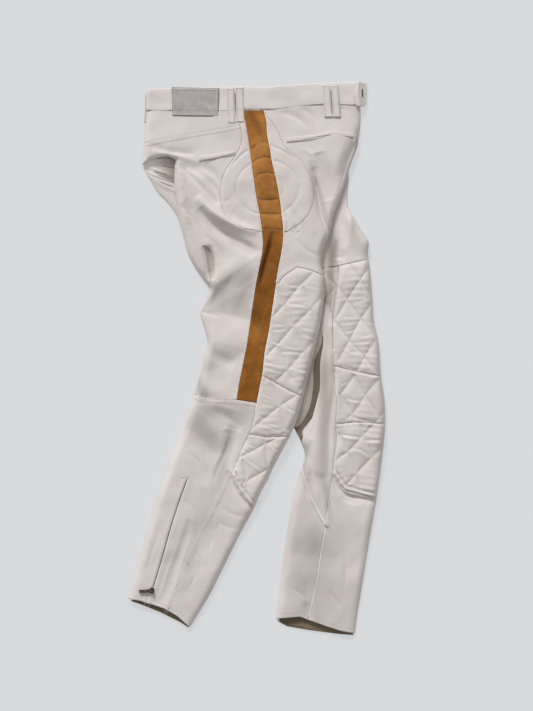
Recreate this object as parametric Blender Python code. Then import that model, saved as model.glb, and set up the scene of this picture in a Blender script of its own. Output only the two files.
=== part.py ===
"""Motocross trousers lying flat on a surface, half turned, wearer's right side up.

Metres, +Z up, +Y towards the waist, origin on the surface under the middle of the garment.
The tables are in millimetres in that frame.  A seam or an edge is a smooth line through a
few (y, x) pairs, and a panel is the cloth between two such lines, from one cross seam to
the next.  Each cloth panel is a wall: outer points on the garment's surface, inner points
one cloth thickness inside them.  The right half lies over the left one.
"""
import bpy
import bmesh
import math
import numpy as np
from mathutils import Matrix, Vector

MM = 0.001

# Driving dimensions, in millimetres
CLOTH = 1.8             # wall of the heavy twill with its seams
BAND = 3.0              # folded waistband
BAND_PROUD = 0.6        # how far it stands above the cloth below it
BAND_END = 4.0          # its end, in from the front edge
GAP = 0.25              # half of the gap between two sewn pieces
STEEP_GAP = 1.2         # the same along the garment, where a cross seam runs steeply
CLEAR = 0.8             # gap under a piece that lies on a panel
EDGE_RADIUS = 18.0      # how gently the cloth turns over at the outline
UNDER_INSET = 2.6       # underside's edge, in from the outline
LOW_INSET = 5.5         # the same under the left leg's low edge
LIFT = 6.2              # the right leg's underside where it lies on the left leg
RAMP_START = 26.0       # the climb onto the left leg, from its edge
RAMP_END = 6.0
TUCKED = 4.5            # height of the left half where it runs under the right one
PLAIN_STEP = 17.0       # grid of a plain panel
QUILT_STEP = 12.5       # grid of a quilted panel
SLAB_STEP = 26.0        # grid of the underside
QUILT_PUFF = 3.6
PAD_PUFF = 3.4
CHANNEL_PUFF = 2.4
CHANNELS = (462.0, 430.0, 400.0, 370.0, 343.0, 316.0, 287.0, 256.0)     # seams across the stripe
PAD_MIDDLE = (23.0, 342.0)
PAD_RADII = (63.0, 55.0)
PAD_TURN = (274.0, 268.0, 263.0, 259.0, 255.0, 250.0)   # rows round the pad's lower end
PAD_FOOT = 254.5        # where the pad's two sides meet the stripe
SEAT_RADIUS = 8.0       # how tightly the left seat's edge turns over
ZIP_WIDTH = 6.0
ZIP_TAPE = 1.4
ZIP_END = -474.0
SLIDER = (-208.0, -463.0)
SLIDER_SIZE = (8.0, 11.2, 3.0)
EAR_WIDTH = 1.4
TAB_WIDTH = 6.6
TAB_LENGTH = 26.0
TAB_PLATE = 1.2
TAB_BARREL = 1.9
TAB_PIN = 0.8
PIN_PLAY = 0.35
TAB_TURN = math.radians(4.4)
TAB_DROOP = math.radians(8.0)
CLOSURE = 2.5           # folded cloth of the closure tab
CLOSURE_TOP = 17.6
CLOSURE_DROP = 11.0
LOOP = 1.6              # belt loop strap, patch and pocket welt
PATCH = 1.5
WELT = 1.2
WELT_WIDTH = 8.5


def line(*pairs):
    """Smooth line through (y, x) pairs: a cubic between two pairs, straight past the ends."""
    places = np.array(sorted(pairs), float)
    at, value = places[:, 0], places[:, 1]
    slope = np.gradient(value, at)

    def read(y):
        y = np.asarray(y, float)
        k = np.clip(np.searchsorted(at, y) - 1, 0, len(at) - 2)
        span = at[k + 1] - at[k]
        u = np.clip((y - at[k]) / span, 0.0, 1.0)
        rise = value[k + 1] - value[k]
        a = slope[k] * span - rise
        b = rise - slope[k + 1] * span
        past = np.where(y < at[0], (y - at[0]) * slope[0], 0.0)
        past = past + np.where(y > at[-1], (y - at[-1]) * slope[-1], 0.0)
        return value[k] + rise * u + u * (1 - u) * (a * (1 - u) + b * u) + past
    return read


def cross_seam(*pairs):
    """Line across the garment through (x, y) pairs, level past its ends."""
    places = np.array(sorted(pairs), float)
    return lambda x: np.interp(x, places[:, 0], places[:, 1])


# Right half: its edges and long seams, (y, x)
SEAT_EDGE = line((554, -216), (534, -219), (498, -220), (448, -224), (414, -226), (386, -228))
RIGHT_BACK_EDGE = line(
    (402, -161), (362, -164), (322, -160), (282, -154), (246, -146), (214, -138), (182, -122),
    (156, -104), (142, -94), (124, -100), (94, -112), (62, -104), (34, -98), (-2, -106),
    (-38, -114), (-72, -124), (-112, -138), (-154, -152), (-192, -168), (-232, -182),
    (-272, -196), (-322, -212), (-372, -226), (-414, -238), (-454, -250), (-492, -260))
RIGHT_FRONT_EDGE = line(
    (554, 206), (506, 210), (482, 210), (448, 207), (422, 202), (396, 192), (358, 180),
    (322, 168), (288, 156), (252, 148), (222, 136), (190, 132), (158, 138), (118, 136),
    (78, 130), (38, 122), (-22, 108), (-82, 94), (-122, 82), (-142, 74), (-182, 54),
    (-212, 38), (-242, 24), (-272, 8), (-300, -4), (-352, -32), (-392, -52), (-432, -72),
    (-472, -92), (-506, -112), (-538, -132))
STRIPE_BACK = line(
    (508, -28), (468, -20), (418, -12), (358, -4), (318, 2), (288, 8), (258, 12), (228, 14),
    (208, 12), (178, 6), (148, 0), (108, -6), (68, -12), (28, -18), (-12, -26), (-52, -34),
    (-92, -40))
FRONT_SEAM = line(
    (508, 12), (478, 20), (448, 22), (418, 28), (392, 32), (368, 38), (338, 44), (314, 48),
    (288, 51), (262, 54), (238, 54), (208, 50), (178, 44), (138, 38), (98, 32), (58, 26),
    (18, 18), (-32, 12), (-62, 6), (-88, 1), (-132, -6), (-152, -14), (-176, -26),
    (-202, -36), (-230, -48), (-276, -68), (-342, -102), (-382, -122), (-422, -140),
    (-452, -156), (-492, -172), (-518, -178))
PAD_BACK = line((472, -32), (428, -30), (408, -40), (378, -60), (348, -70), (328, -72),
                (304, -68), (290, -62), (278, -52), (268, -38), (262, -26), (255, 12))
PAD_FRONT = line((500, 17), (484, 23), (470, 35), (450, 46), (430, 55), (414, 68), (398, 88),
                 (378, 103), (355, 113), (328, 118), (302, 112), (278, 97), (264, 80), (254, 57))
ZIP_LINE = line((-70, -80), (-162, -106), (-242, -138), (-292, -156), (-342, -172),
                (-392, -186), (-432, -198), (-458, -206), (-506, -224))

# Left half: its edges and long seams, (y, x)
LEFT_SEAT_EDGE = line((404, -226), (384, -227), (358, -212), (332, -196), (318, -182),
                      (278, -156), (262, -152))
LEFT_BACK_EDGE = line(
    (404, 164), (358, 148), (318, 136), (252, 118), (190, 104), (118, 100), (78, 98),
    (38, 90), (-22, 76), (-52, 70), (-82, 66), (-122, 70), (-138, 76), (-162, 88),
    (-198, 98), (-218, 92), (-242, 84), (-272, 76), (-312, 68), (-362, 60), (-402, 54),
    (-452, 48), (-502, 42), (-526, 38))
LEFT_FRONT_EDGE = line(
    (400, 195), (386, 188), (358, 186), (328, 184), (302, 186), (282, 198), (258, 212),
    (238, 225), (208, 225), (188, 228), (118, 234), (68, 238), (44, 244), (-42, 252),
    (-82, 258), (-142, 259), (-192, 254), (-242, 248), (-282, 242), (-362, 228),
    (-462, 212), (-522, 202), (-554, 198))
INSEAM = line(
    (202, 166), (168, 164), (118, 158), (74, 154), (-14, 156), (-82, 162), (-130, 160),
    (-162, 162), (-202, 156), (-232, 154), (-262, 148), (-302, 144), (-342, 138),
    (-402, 128), (-442, 122), (-506, 108), (-526, 104))

# Cross seams and ends, (x, y)
WAIST_TOP = cross_seam((-216, 540), (-168, 542), (-32, 546), (12, 544), (128, 552), (206, 554))
WAIST_SEAM = cross_seam((-220, 498), (-60, 496), (-26, 500), (38, 500), (88, 506),
                        (132, 510), (212, 508))
YOKE_SEAM = cross_seam((-224, 432), (-162, 444), (-112, 454), (-62, 462), (-20, 472))
SEAT_LIP = cross_seam((-228, 388), (-212, 398), (-192, 404), (-176, 406), (-160, 398))
PAD_END = cross_seam((-40, 257.5), (80, 257.5))
KNEE_BACK_SEAM = cross_seam((-124, -70), (-102, -80), (-38, -82), (2, -88))
QUILT_TOP = cross_seam((40, 146), (56, 166), (82, 184), (108, 178), (138, 166))
QUILT_KNEE = cross_seam((14, -34), (68, -64), (94, -76))
QUILT_SHIN = cross_seam((-18, -150), (18, -156), (72, -154))
QUILT_END = cross_seam((-48, -230), (-40, -252), (-26, -272), (-4, -300))
ZIP_TOP = cross_seam((-182, -240), (-40, -240))
RIGHT_HEM = cross_seam((-258, -480), (-232, -484), (-200, -494), (-182, -500), (-156, -516),
                       (-132, -538))
RIGHT_HEM_UNDER = cross_seam((-258, -483), (-232, -492), (-192, -508), (-152, -528),
                             (-132, -541))
LEFT_SEAT_TOP = cross_seam((-230, 402), (-150, 402))
LEFT_YOKE_SEAM = cross_seam((-224, 372), (-160, 350))
LEFT_SEAT_END = cross_seam((-160, 264), (-130, 264))
LEFT_FRONT_TOP = cross_seam((150, 388), (200, 388))
LEFT_QUILT_TOP = cross_seam((104, 180), (166, 186), (228, 200))
LEFT_QUILT_KNEE = cross_seam((156, -14), (202, -26), (250, -34))
LEFT_QUILT_SHIN = cross_seam((160, -130), (198, -126), (258, -130))
LEFT_QUILT_END = cross_seam((154, -228), (168, -252), (178, -262), (208, -270), (242, -278))
INNER_SEAM = cross_seam((90, -216), (98, -250), (108, -280), (122, -306), (140, -338))
LEFT_HEM = cross_seam((40, -520), (88, -516), (104, -522), (138, -534), (168, -544), (198, -550))
LEFT_HEM_UNDER = cross_seam((40, -524), (62, -536), (108, -544), (168, -552), (198, -554))
CROTCH_SEAM = cross_seam((-152, 262), (100, 126), (240, 126))

# Quilted pieces: name, upper and lower seam, length, a crossing of its lines, cell of its lattice
QUILT_LEAN = math.radians(14.0)
RIGHT_QUILTS = (("right_thigh_quilt", QUILT_TOP, QUILT_KNEE, 218.0, (34, 86), (56, 78)),
                ("right_knee_quilt", QUILT_KNEE, QUILT_SHIN, 96.0, (40, -96), (52, 70)),
                ("right_shin_quilt", QUILT_SHIN, QUILT_END, 108.0, (30, -200), (52, 70)))
LEFT_QUILTS = (("left_thigh_quilt", LEFT_QUILT_TOP, LEFT_QUILT_KNEE, 215.0, (210, 158), (56, 82)),
               ("left_knee_quilt", LEFT_QUILT_KNEE, LEFT_QUILT_SHIN, 104.0, (194, -34), (52, 72)),
               ("left_shin_quilt", LEFT_QUILT_SHIN, LEFT_QUILT_END, 128.0, (214, -154), (52, 72)))

# Belt loops: name, lower and upper end as (y, x), width.  Pocket welts: name, sides, upper edge
LOOPS = (("back_belt_loop_1", (472, -57), (544, -60), 17.0),
         ("back_belt_loop_2", (474, -39), (546, -42), 17.0),
         ("front_belt_loop_1", (484, 137), (550, 131), 17.0),
         ("front_belt_loop_2", (484, 154), (550, 149), 16.0))
WELTS = (("back_pocket_welt", -114, -42, cross_seam((-114, 404), (-40, 416))),
         ("front_pocket_welt", 61, 196, cross_seam((60, 442), (118, 448), (154, 456), (200, 452))))
PATCH_SIDES = (cross_seam((484, -166), (546, -168)), cross_seam((484, -76), (546, -74)))
PATCH_SEAMS = (cross_seam((-170, 543), (-70, 541)), cross_seam((-170, 487), (-70, 485)))
CLOSURE_SIDES = (cross_seam((505, 200), (528, 194), (555, 204)),
                 cross_seam((505, 216), (512, 221), (553, 222)))
CLOSURE_SEAMS = (cross_seam((194, 555), (222, 553)), cross_seam((194, 507), (214, 505), (222, 509)))

# Sides of the underside of the seat, (y, x)
SEAT_SIDE = line((540, -212), (498, -216), (448, -220), (410, -220), (384, -220), (358, -206),
                 (318, -176), (278, -148), (240, -138))
FRONT_SIDE = line((540, 201), (482, 203), (448, 200), (422, 193), (396, 178), (358, 168),
                  (302, 168), (282, 178), (258, 192), (238, 208), (188, 218), (118, 226))

# Height of each half's crown over the surface, (y, z)
RIGHT_CROWN = line((554, 13), (500, 14), (440, 19), (380, 22), (300, 24), (200, 26), (100, 26),
                   (0, 25), (-80, 23), (-160, 22), (-240, 20), (-360, 17), (-460, 15),
                   (-540, 13))
LEFT_CROWN = line((400, 12), (330, 14), (260, 20), (200, 22), (100, 24), (0, 24), (-100, 22),
                  (-200, 20), (-300, 18), (-400, 16), (-500, 13), (-554, 12))

# Height of the right half's two turned edges: they lie on the left half, then on the surface
BACK_EDGE_BASE = cross_seam((-600, 0), (238, 0), (262, LIFT), (400, LIFT))
SEAT_EDGE_BASE = cross_seam((412, LIFT), (440, 0), (600, 0))
FRONT_EDGE_BASE = cross_seam((-190, 0), (-146, LIFT), (404, LIFT), (436, 0))
LIP_BASE = cross_seam((-228, 8.5), (-212, 12), (-192, 14), (-176, 13.5), (-160, 9))
LIP_RADIUS = 15.0
FOLD_CORNER = (-160.0, 398.0)
BAND_EDGE_RADIUS = 8.0

# Largest folds: depth (up is positive), half width, and the path as (x, y) points
RIGHT_FOLDS = (
    dict(name="hip ridge", depth=7.0, width=10.0, path=((-116, 324), (-82, 290), (-32, 262), (0, 252))),
    dict(name="hip trough", depth=-7.0, width=10.0, path=((-112, 302), (-88, 270), (-48, 246), (0, 210))),
    dict(name="seat trough", depth=-5.0, width=12.0, path=((-156, 390), (-88, 370), (-74, 308))),
    dict(name="seat pocket", depth=-9.0, width=10.0, path=((-98, 226), (-92, 190), (-90, 156))),
    dict(name="thigh trough", depth=-6.0, width=16.0, path=((-2, 208), (-56, 150), (-112, 98))),
    dict(name="back of knee", depth=-4.0, width=12.0, path=((-102, 18), (-42, -12))),
    dict(name="calf wrinkle", depth=-4.0, width=11.0, path=((-82, -92), (-32, -142))),
    dict(name="shin wrinkle", depth=-4.0, width=11.0, path=((-62, -142), (-42, -222))),
    dict(name="ankle trough", depth=-4.0, width=12.0, path=((-132, -322), (-196, -492))),
    dict(name="front trough", depth=-7.0, width=16.0, path=((124, 412), (148, 318))),
    dict(name="front crease", depth=-5.0, width=9.0, path=((114, 382), (128, 318), (148, 252))),
)
LEFT_FOLDS = (
    dict(name="front ridge", depth=5.0, width=9.0, path=((186, 374), (170, 298), (164, 268), (172, 208))),
    dict(name="inner ridge", depth=5.0, width=10.0, path=((148, 18), (158, -82), (148, -162), (138, -242))),
    dict(name="hem pleat", depth=-4.0, width=8.0, path=((102, -488), (104, -522))),
)


def rounded(distance, radius):
    """Quarter-round rise, from 0 at a turned edge to 1 at the radius."""
    u = np.clip(distance / radius, 0.0, 1.0)
    return np.sqrt(1.0 - (1.0 - u) ** 2)


def eased(distance, radius):
    """S-shaped rise, from 0 to 1 over the radius."""
    u = np.clip(distance / radius, 0.0, 1.0)
    return u * u * (3.0 - 2.0 * u)


def path_distance(x, y, path):
    """Distance of each point from a path of straight runs."""
    best = np.full(np.shape(x), np.inf)
    for (ax, ay), (bx, by) in zip(path, path[1:]):
        length = (bx - ax) ** 2 + (by - ay) ** 2
        u = np.clip(((x - ax) * (bx - ax) + (y - ay) * (by - ay)) / length, 0.0, 1.0)
        best = np.minimum(best, np.hypot(x - ax - u * (bx - ax), y - ay - u * (by - ay)))
    return best


def folded(x, y, folds):
    """Sum of the folds: each is a bell-shaped ridge or trough along its path."""
    total = np.zeros(np.shape(x))
    for fold in folds:
        total += fold["depth"] * np.exp(-(path_distance(x, y, fold["path"]) / fold["width"]) ** 2)
    return total


def from_edge(x, y, edge):
    """Distance from a long edge, square to it."""
    slope = (edge(y + 5.0) - edge(y - 5.0)) / 10.0
    return (x - edge(y)) / np.hypot(1.0, slope)


def turned(distance, radius):
    """Share of the cloth's thickness that lies sideways where the cloth turns over."""
    return np.clip(1.0 - distance / radius, 0.0, 1.0)


def right_half(x, y, depth=0.0):
    """Points of the right half's upper cloth, a depth inside its outer face."""
    crown = RIGHT_CROWN(y) - depth
    radius = np.where(y > WAIST_SEAM(x) - GAP, BAND_EDGE_RADIUS, EDGE_RADIUS)
    flap = (y > FOLD_CORNER[1]) | (x < FOLD_CORNER[0] - 1.0) & (y > 380.0)
    seat = from_edge(x, y, SEAT_EDGE)
    back = from_edge(x, y, RIGHT_BACK_EDGE)
    back = np.where(flap, seat, back)
    front = -from_edge(x, y, RIGHT_FRONT_EDGE)
    back_base = np.where(flap, SEAT_EDGE_BASE(y), BACK_EDGE_BASE(y))
    front_base = FRONT_EDGE_BASE(y)
    z = np.minimum(back_base + (crown - back_base) * rounded(back, radius),
                   front_base + (crown - front_base) * rounded(front, radius))
    over_lip = np.where(x < FOLD_CORNER[0], y - SEAT_LIP(x),
                        np.hypot(x - FOLD_CORNER[0], y - FOLD_CORNER[1]))
    lip = LIP_BASE(x) - depth + (crown + depth - LIP_BASE(x)) * eased(over_lip, LIP_RADIUS)
    z = np.where(flap, np.minimum(z, lip), z)
    fade = eased(back, EDGE_RADIUS) * eased(front, EDGE_RADIUS)
    fade = np.where(flap, fade * eased(over_lip, LIP_RADIUS), fade)
    z = z + folded(x, y, RIGHT_FOLDS) * fade
    x = x + depth * (turned(back, radius) - turned(front, radius))
    return x, y, z


def left_half(x, y, depth=0.0):
    """Points of the left half's upper cloth: low beside and under the right half."""
    back = from_edge(x, y, LEFT_BACK_EDGE)
    front = -from_edge(x, y, LEFT_FRONT_EDGE)
    beside = eased(x - RIGHT_FRONT_EDGE(y) - 12.0, 28.0)
    crown = TUCKED + (LEFT_CROWN(y) - TUCKED) * beside - depth
    in_leg = eased(140.0 - y, 30.0)
    radius = EDGE_RADIUS * (0.3 + 0.7 * beside)
    back_rise = 1.0 - in_leg + in_leg * rounded(back, radius)
    z = np.minimum(crown * back_rise, crown * rounded(front, EDGE_RADIUS))
    z = z + folded(x, y, LEFT_FOLDS) * beside * eased(front, EDGE_RADIUS)
    x = x + depth * (in_leg * turned(back, radius) - turned(front, EDGE_RADIUS))
    return x, y, z


def left_seat(x, y, depth=0.0):
    """Points of the strip of the left half's seat that shows beside the fold."""
    back = from_edge(x, y, LEFT_SEAT_EDGE)
    z = (TUCKED - depth) * rounded(back, SEAT_RADIUS)
    return x + depth * turned(back, SEAT_RADIUS), y, z


def lattice(x, y, origin, cell, tilt):
    """Diamond quilting: 0 on the stitched lines, 1 in the middle of a diamond."""
    dx, dy = x - origin[0], y - origin[1]
    u = (dx * math.cos(tilt) - dy * math.sin(tilt)) / cell[0]
    v = (dx * math.sin(tilt) + dy * math.cos(tilt)) / cell[1]
    return np.sqrt(np.abs(np.sin(math.pi * (u + v)) * np.sin(math.pi * (u - v))))


def quilt(origin, cell, tilt=0.0):
    return lambda x, y: QUILT_PUFF * lattice(x, y, origin, cell, tilt)


def hip_rings(x, y):
    """Rings of the hip pad, stitched round its middle."""
    ring = np.hypot((x - PAD_MIDDLE[0]) / PAD_RADII[0], (y - PAD_MIDDLE[1]) / PAD_RADII[1])
    return PAD_PUFF * np.sqrt(np.abs(np.sin(2.0 * math.pi * ring)))


def channels(x, y):
    """Sewn channels across the upper stripe."""
    count = np.interp(y, CHANNELS[::-1], range(len(CHANNELS)))
    return CHANNEL_PUFF * np.sqrt(np.abs(np.sin(math.pi * count))) * (y < CHANNELS[0])


def plain(x, y):
    return np.zeros(np.shape(x))


def spread(width, step, round_first=False, round_last=False, radius=EDGE_RADIUS):
    """Fractions across a band, closer together where the cloth turns over at an edge."""
    turn = [radius * (1.0 - math.cos(a)) for a in np.radians((0.0, 24.0, 48.0, 72.0))]
    first = turn if round_first else [0.0]
    last = [width - d for d in turn[::-1]] if round_last else [width]
    low = radius if round_first else 0.0
    high = width - radius if round_last else width
    count = max(1, round((high - low) / step))
    middle = [low + (high - low) * k / count for k in range(count + 1)]
    inner = middle[0 if round_first else 1:None if round_last else -1]
    return np.array(first + inner + last) / width


def bands(*parts):
    """Grid coordinates of several bands side by side: band k runs from k to k + 1."""
    places = [np.asarray(part) + k for k, part in enumerate(parts)]
    return np.concatenate([places[0]] + [part[1:] for part in places[1:]])


def between(lines, places):
    """Value at each grid coordinate, straight between neighbouring lines."""
    k = np.minimum(places.astype(int), len(lines) - 2)
    k = np.broadcast_to(k, np.broadcast_shapes(k.shape, lines[0].shape))
    stack = np.stack([np.broadcast_to(values, k.shape) for values in lines])
    low = np.take_along_axis(stack, k[None], 0)[0]
    high = np.take_along_axis(stack, k[None] + 1, 0)[0]
    return low + (high - low) * (places - k)


def plan(sides, seams, columns, rows):
    """Plan points of a panel: columns run between its sides and rows between its seams."""
    levels = []
    for seam in seams:
        y = seam(between([side(np.zeros(len(columns))) for side in sides], columns))
        for _ in range(60):
            x = between([side(y) for side in sides], columns)
            y = 0.5 * y + 0.5 * seam(x)
        levels.append(y)
    y = between([level[None, :] for level in levels], rows[:, None])
    x = between([side(y) for side in sides], columns[None, :])
    return x, y


def moved(seam, shift):
    """The same line, moved by a half gap or an inset."""
    return lambda at: seam(at) + shift


def level(value):
    """Line at one x or y all along."""
    return lambda at: np.full(np.shape(at), float(value))


def add_mesh(name, points, faces, finish):
    mesh = bpy.data.meshes.new(name)
    mesh.from_pydata([tuple(point) for point in points], [], faces)
    mesh.validate()
    mesh.materials.append(finish)
    mesh.shade_smooth()
    piece = bpy.data.objects.new(name, mesh)
    bpy.data.collections["motocross_trousers"].objects.link(piece)
    return piece


def wall(name, outer, inner, finish, keep):
    """Closed wall between an outer and an inner grid, with a rim round the cells kept."""
    rows, columns = outer[0].shape
    number = np.arange(rows * columns).reshape(rows, columns)
    corners = np.stack([number[:-1, :-1], number[1:, :-1], number[1:, 1:], number[:-1, 1:]], -1)
    cells = corners[keep]
    directed = {(a, b) for cell in cells.tolist() for a, b in zip(cell, cell[1:] + cell[:1])}
    rim = [(a, b) for a, b in directed if (b, a) not in directed]
    used = np.unique(cells)
    place = np.full(rows * columns, -1)
    place[used] = np.arange(len(used))
    top = np.stack([part.ravel()[used] for part in outer], -1)
    low = np.stack([part.ravel()[used] for part in inner], -1)
    count = len(used)
    faces = [[int(place[i]) for i in cell] for cell in cells]
    faces += [[int(place[i]) + count for i in cell[::-1]] for cell in cells]
    faces += [[int(place[b]), int(place[a]), int(place[a]) + count, int(place[b]) + count]
              for a, b in sorted(rim)]
    return add_mesh(name, np.concatenate([top, low]) * MM, faces, finish)


def cells_kept(columns, rows, skip):
    """Which grid cells a panel keeps: skip holds the (row band, column band) pairs left out."""
    row_band = ((rows[:-1] + rows[1:]) / 2).astype(int)
    column_band = ((columns[:-1] + columns[1:]) / 2).astype(int)
    keep = np.ones((len(row_band), len(column_band)), bool)
    for row, column in skip:
        keep &= ~((row_band[:, None] == row) & (column_band[None, :] == column))
    return keep


def cloth_panel(name, surface, sides, seams, columns, rows, finish, puff=plain,
                thickness=CLOTH, raised=0.0, skip=()):
    """One cut piece of cloth as a wall on a half's surface."""
    x, y = plan(sides, seams, columns, rows)
    outer_x, outer_y, outer_z = surface(x, y, -raised)
    inner = surface(x, y, thickness - raised)
    front = (outer_x, outer_y, outer_z + puff(x, y))
    return wall(name, front, inner, finish, cells_kept(columns, rows, skip))


def material(name, colour, roughness, metallic=0.0):
    """Principled material in a linear colour."""
    made = bpy.data.materials.new(name)
    made.use_nodes = True
    shader = made.node_tree.nodes["Principled BSDF"]
    shader.inputs["Base Color"].default_value = (*colour, 1.0)
    shader.inputs["Roughness"].default_value = roughness
    shader.inputs["Metallic"].default_value = metallic
    return made


def waistband(cloth):
    """Right half of the waistband, one folded strip thick."""
    columns = spread(426.0, 15.0, True, True, BAND_EDGE_RADIUS)
    rows = spread(44.0, 15.0)
    cloth_panel("waistband_right", right_half, (SEAT_EDGE, moved(RIGHT_FRONT_EDGE, -BAND_END)),
                (WAIST_TOP, moved(WAIST_SEAM, GAP)), columns, rows, cloth,
                thickness=BAND, raised=BAND_PROUD)


def right_seat(cloth):
    """Yoke, back panel with the fold at its edge, and front panel of the right half."""
    cloth_panel("right_yoke", right_half, (SEAT_EDGE, moved(STRIPE_BACK, -GAP)),
                (moved(WAIST_SEAM, -GAP), moved(YOKE_SEAM, GAP)),
                spread(196.0, PLAIN_STEP, True), spread(48.0, PLAIN_STEP), cloth)
    columns = bands(spread(64.0, PLAIN_STEP, True), spread(112.0, PLAIN_STEP, True))
    rows = bands(seat_rows(469.0), pad_rows(398.0, -80.8))
    cloth_panel("right_back", right_half,
                (SEAT_EDGE, RIGHT_BACK_EDGE, moved(BACK_PANEL_SIDE, -GAP)),
                (moved(YOKE_SEAM, -GAP), SEAT_LIP, moved(KNEE_BACK_SEAM, STEEP_GAP)),
                columns, rows, cloth, skip=((1, 0),))
    cloth_panel("right_front", right_half, (moved(FRONT_PANEL_SIDE, GAP), RIGHT_FRONT_EDGE),
                (moved(WAIST_SEAM, -GAP), moved(QUILT_TOP, STEEP_GAP)),
                spread(112.0, PLAIN_STEP, False, True), pad_rows(500.0, 146.0), cloth)


def pad_rows(top, bottom):
    """Rows that meet the hip pad's rows at its edge, closer together at its round end."""
    ladder = FOLD_CORNER[1] + PLAIN_STEP * np.arange(8.0, -10.0, -1.0)
    ladder = ladder[ladder > 281.0]
    foot = PAD_TURN[-1]
    rest = np.linspace(foot, bottom, max(2, round((foot - bottom) / PLAIN_STEP) + 1))
    levels = np.concatenate([[top], ladder[ladder < top - 4.0], PAD_TURN[:-1], rest])
    levels = np.append(levels[levels > bottom], bottom)
    return (top - levels) / (top - bottom)


def seat_rows(top):
    """Rows of the back panel above the fold's lip, on the same levels as the pad's."""
    levels = FOLD_CORNER[1] + PLAIN_STEP * np.arange(8.0, -1.0, -1.0)
    levels = levels[levels < top - 4.0]
    return np.concatenate([[0.0], (top - levels) / (top - FOLD_CORNER[1])])


def beside_pad(pad, seam):
    """Side of the panel beside the pad: the pad's edge, then the stripe's seam below it."""
    return lambda y: np.where(np.asarray(y) > PAD_FOOT, pad(y), seam(y))


BACK_PANEL_SIDE = beside_pad(PAD_BACK, STRIPE_BACK)
FRONT_PANEL_SIDE = beside_pad(PAD_FRONT, FRONT_SEAM)


def hip_pad(cloth):
    """Padded hip piece in two halves, one on each side of the stripe."""
    rows = pad_rows(469.0, 257.8)
    cloth_panel("hip_pad_back", right_half, (moved(PAD_BACK, GAP), moved(STRIPE_BACK, -GAP)),
                (moved(YOKE_SEAM, -GAP), moved(PAD_END, GAP)),
                spread(60.0, QUILT_STEP), rows, cloth, puff=hip_rings)
    rows = pad_rows(497.0, 257.8)
    cloth_panel("hip_pad_front", right_half, (moved(FRONT_SEAM, GAP), moved(PAD_FRONT, -GAP)),
                (level(497.0), moved(PAD_END, GAP)),
                spread(60.0, QUILT_STEP), rows, cloth, puff=hip_rings)


def stripe(suede):
    """Side stripe: sewn across in channels above the thigh and plain below."""
    sides = (moved(STRIPE_BACK, GAP), moved(FRONT_SEAM, -GAP))
    middle = level(255.5)
    cloth_panel("stripe_upper", right_half, sides, (moved(WAIST_SEAM, -GAP), moved(middle, GAP)),
                spread(40.0, QUILT_STEP), spread(244.0, 8.0), suede, puff=channels)
    cloth_panel("stripe_lower", right_half, sides,
                (moved(middle, -GAP), moved(KNEE_BACK_SEAM, GAP)),
                spread(40.0, PLAIN_STEP), spread(338.0, PLAIN_STEP), suede)


def right_quilts(cloth):
    """Three quilted pieces down the front of the right leg: thigh, knee and shin."""
    sides = (moved(FRONT_SEAM, GAP), RIGHT_FRONT_EDGE)
    for name, top, bottom, length, origin, cell in RIGHT_QUILTS:
        end_gap = STEEP_GAP if bottom is QUILT_END else GAP
        cloth_panel(name, right_half, sides, (moved(top, -GAP), moved(bottom, end_gap)),
                    spread(90.0, QUILT_STEP, False, True), spread(length, QUILT_STEP), cloth,
                    puff=quilt(origin, cell, QUILT_LEAN))


def right_lower_leg(cloth):
    """Back piece with the slit for the ankle zip, and the front piece below the quilting."""
    columns = bands(spread(40.0, PLAIN_STEP, True), np.array((0.0, 1.0)), spread(60.0, PLAIN_STEP))
    rows = bands(spread(160.0, PLAIN_STEP), spread(254.0, PLAIN_STEP))
    half_slit = ZIP_WIDTH / 2 + GAP
    cloth_panel("right_lower_back", right_half,
                (RIGHT_BACK_EDGE, moved(ZIP_LINE, -half_slit), moved(ZIP_LINE, half_slit),
                 moved(FRONT_SEAM, -GAP)),
                (moved(KNEE_BACK_SEAM, -STEEP_GAP), ZIP_TOP, RIGHT_HEM), columns, rows, cloth,
                skip=((1, 1),))
    cloth_panel("right_lower_front", right_half, (moved(FRONT_SEAM, GAP), RIGHT_FRONT_EDGE),
                (moved(QUILT_END, -STEEP_GAP), RIGHT_HEM), spread(66.0, PLAIN_STEP, False, True),
                spread(250.0, PLAIN_STEP), cloth)


def ankle_zip(tape):
    """Closed zip in the slit of the lower leg, from its bartack to the slider."""
    sides = (moved(ZIP_LINE, -ZIP_WIDTH / 2), moved(ZIP_LINE, ZIP_WIDTH / 2))
    seams = (moved(ZIP_TOP, -2 * GAP), level(ZIP_END))
    cloth_panel("ankle_zip_tape", right_half, sides, seams, np.array((0.0, 1.0)),
                spread(234.0, PLAIN_STEP), tape, thickness=ZIP_TAPE, raised=-0.4)


def left_quilts(cloth):
    """Three quilted pieces down the front of the left leg, where they show."""
    sides = (moved(INSEAM, GAP), LEFT_FRONT_EDGE)
    for name, top, bottom, length, origin, cell in LEFT_QUILTS:
        cloth_panel(name, left_half, sides, (moved(top, -GAP), moved(bottom, GAP)),
                    spread(88.0, QUILT_STEP, False, True), spread(length, QUILT_STEP), cloth,
                    puff=quilt(origin, cell))


def valley(y):
    """Line beside the right half's front edge, where the left half starts to rise."""
    low = LEFT_BACK_EDGE(y) + 20.0
    return np.clip(RIGHT_FRONT_EDGE(y) + 10.0, low, np.maximum(low, INSEAM(y) - 12.0))


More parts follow.
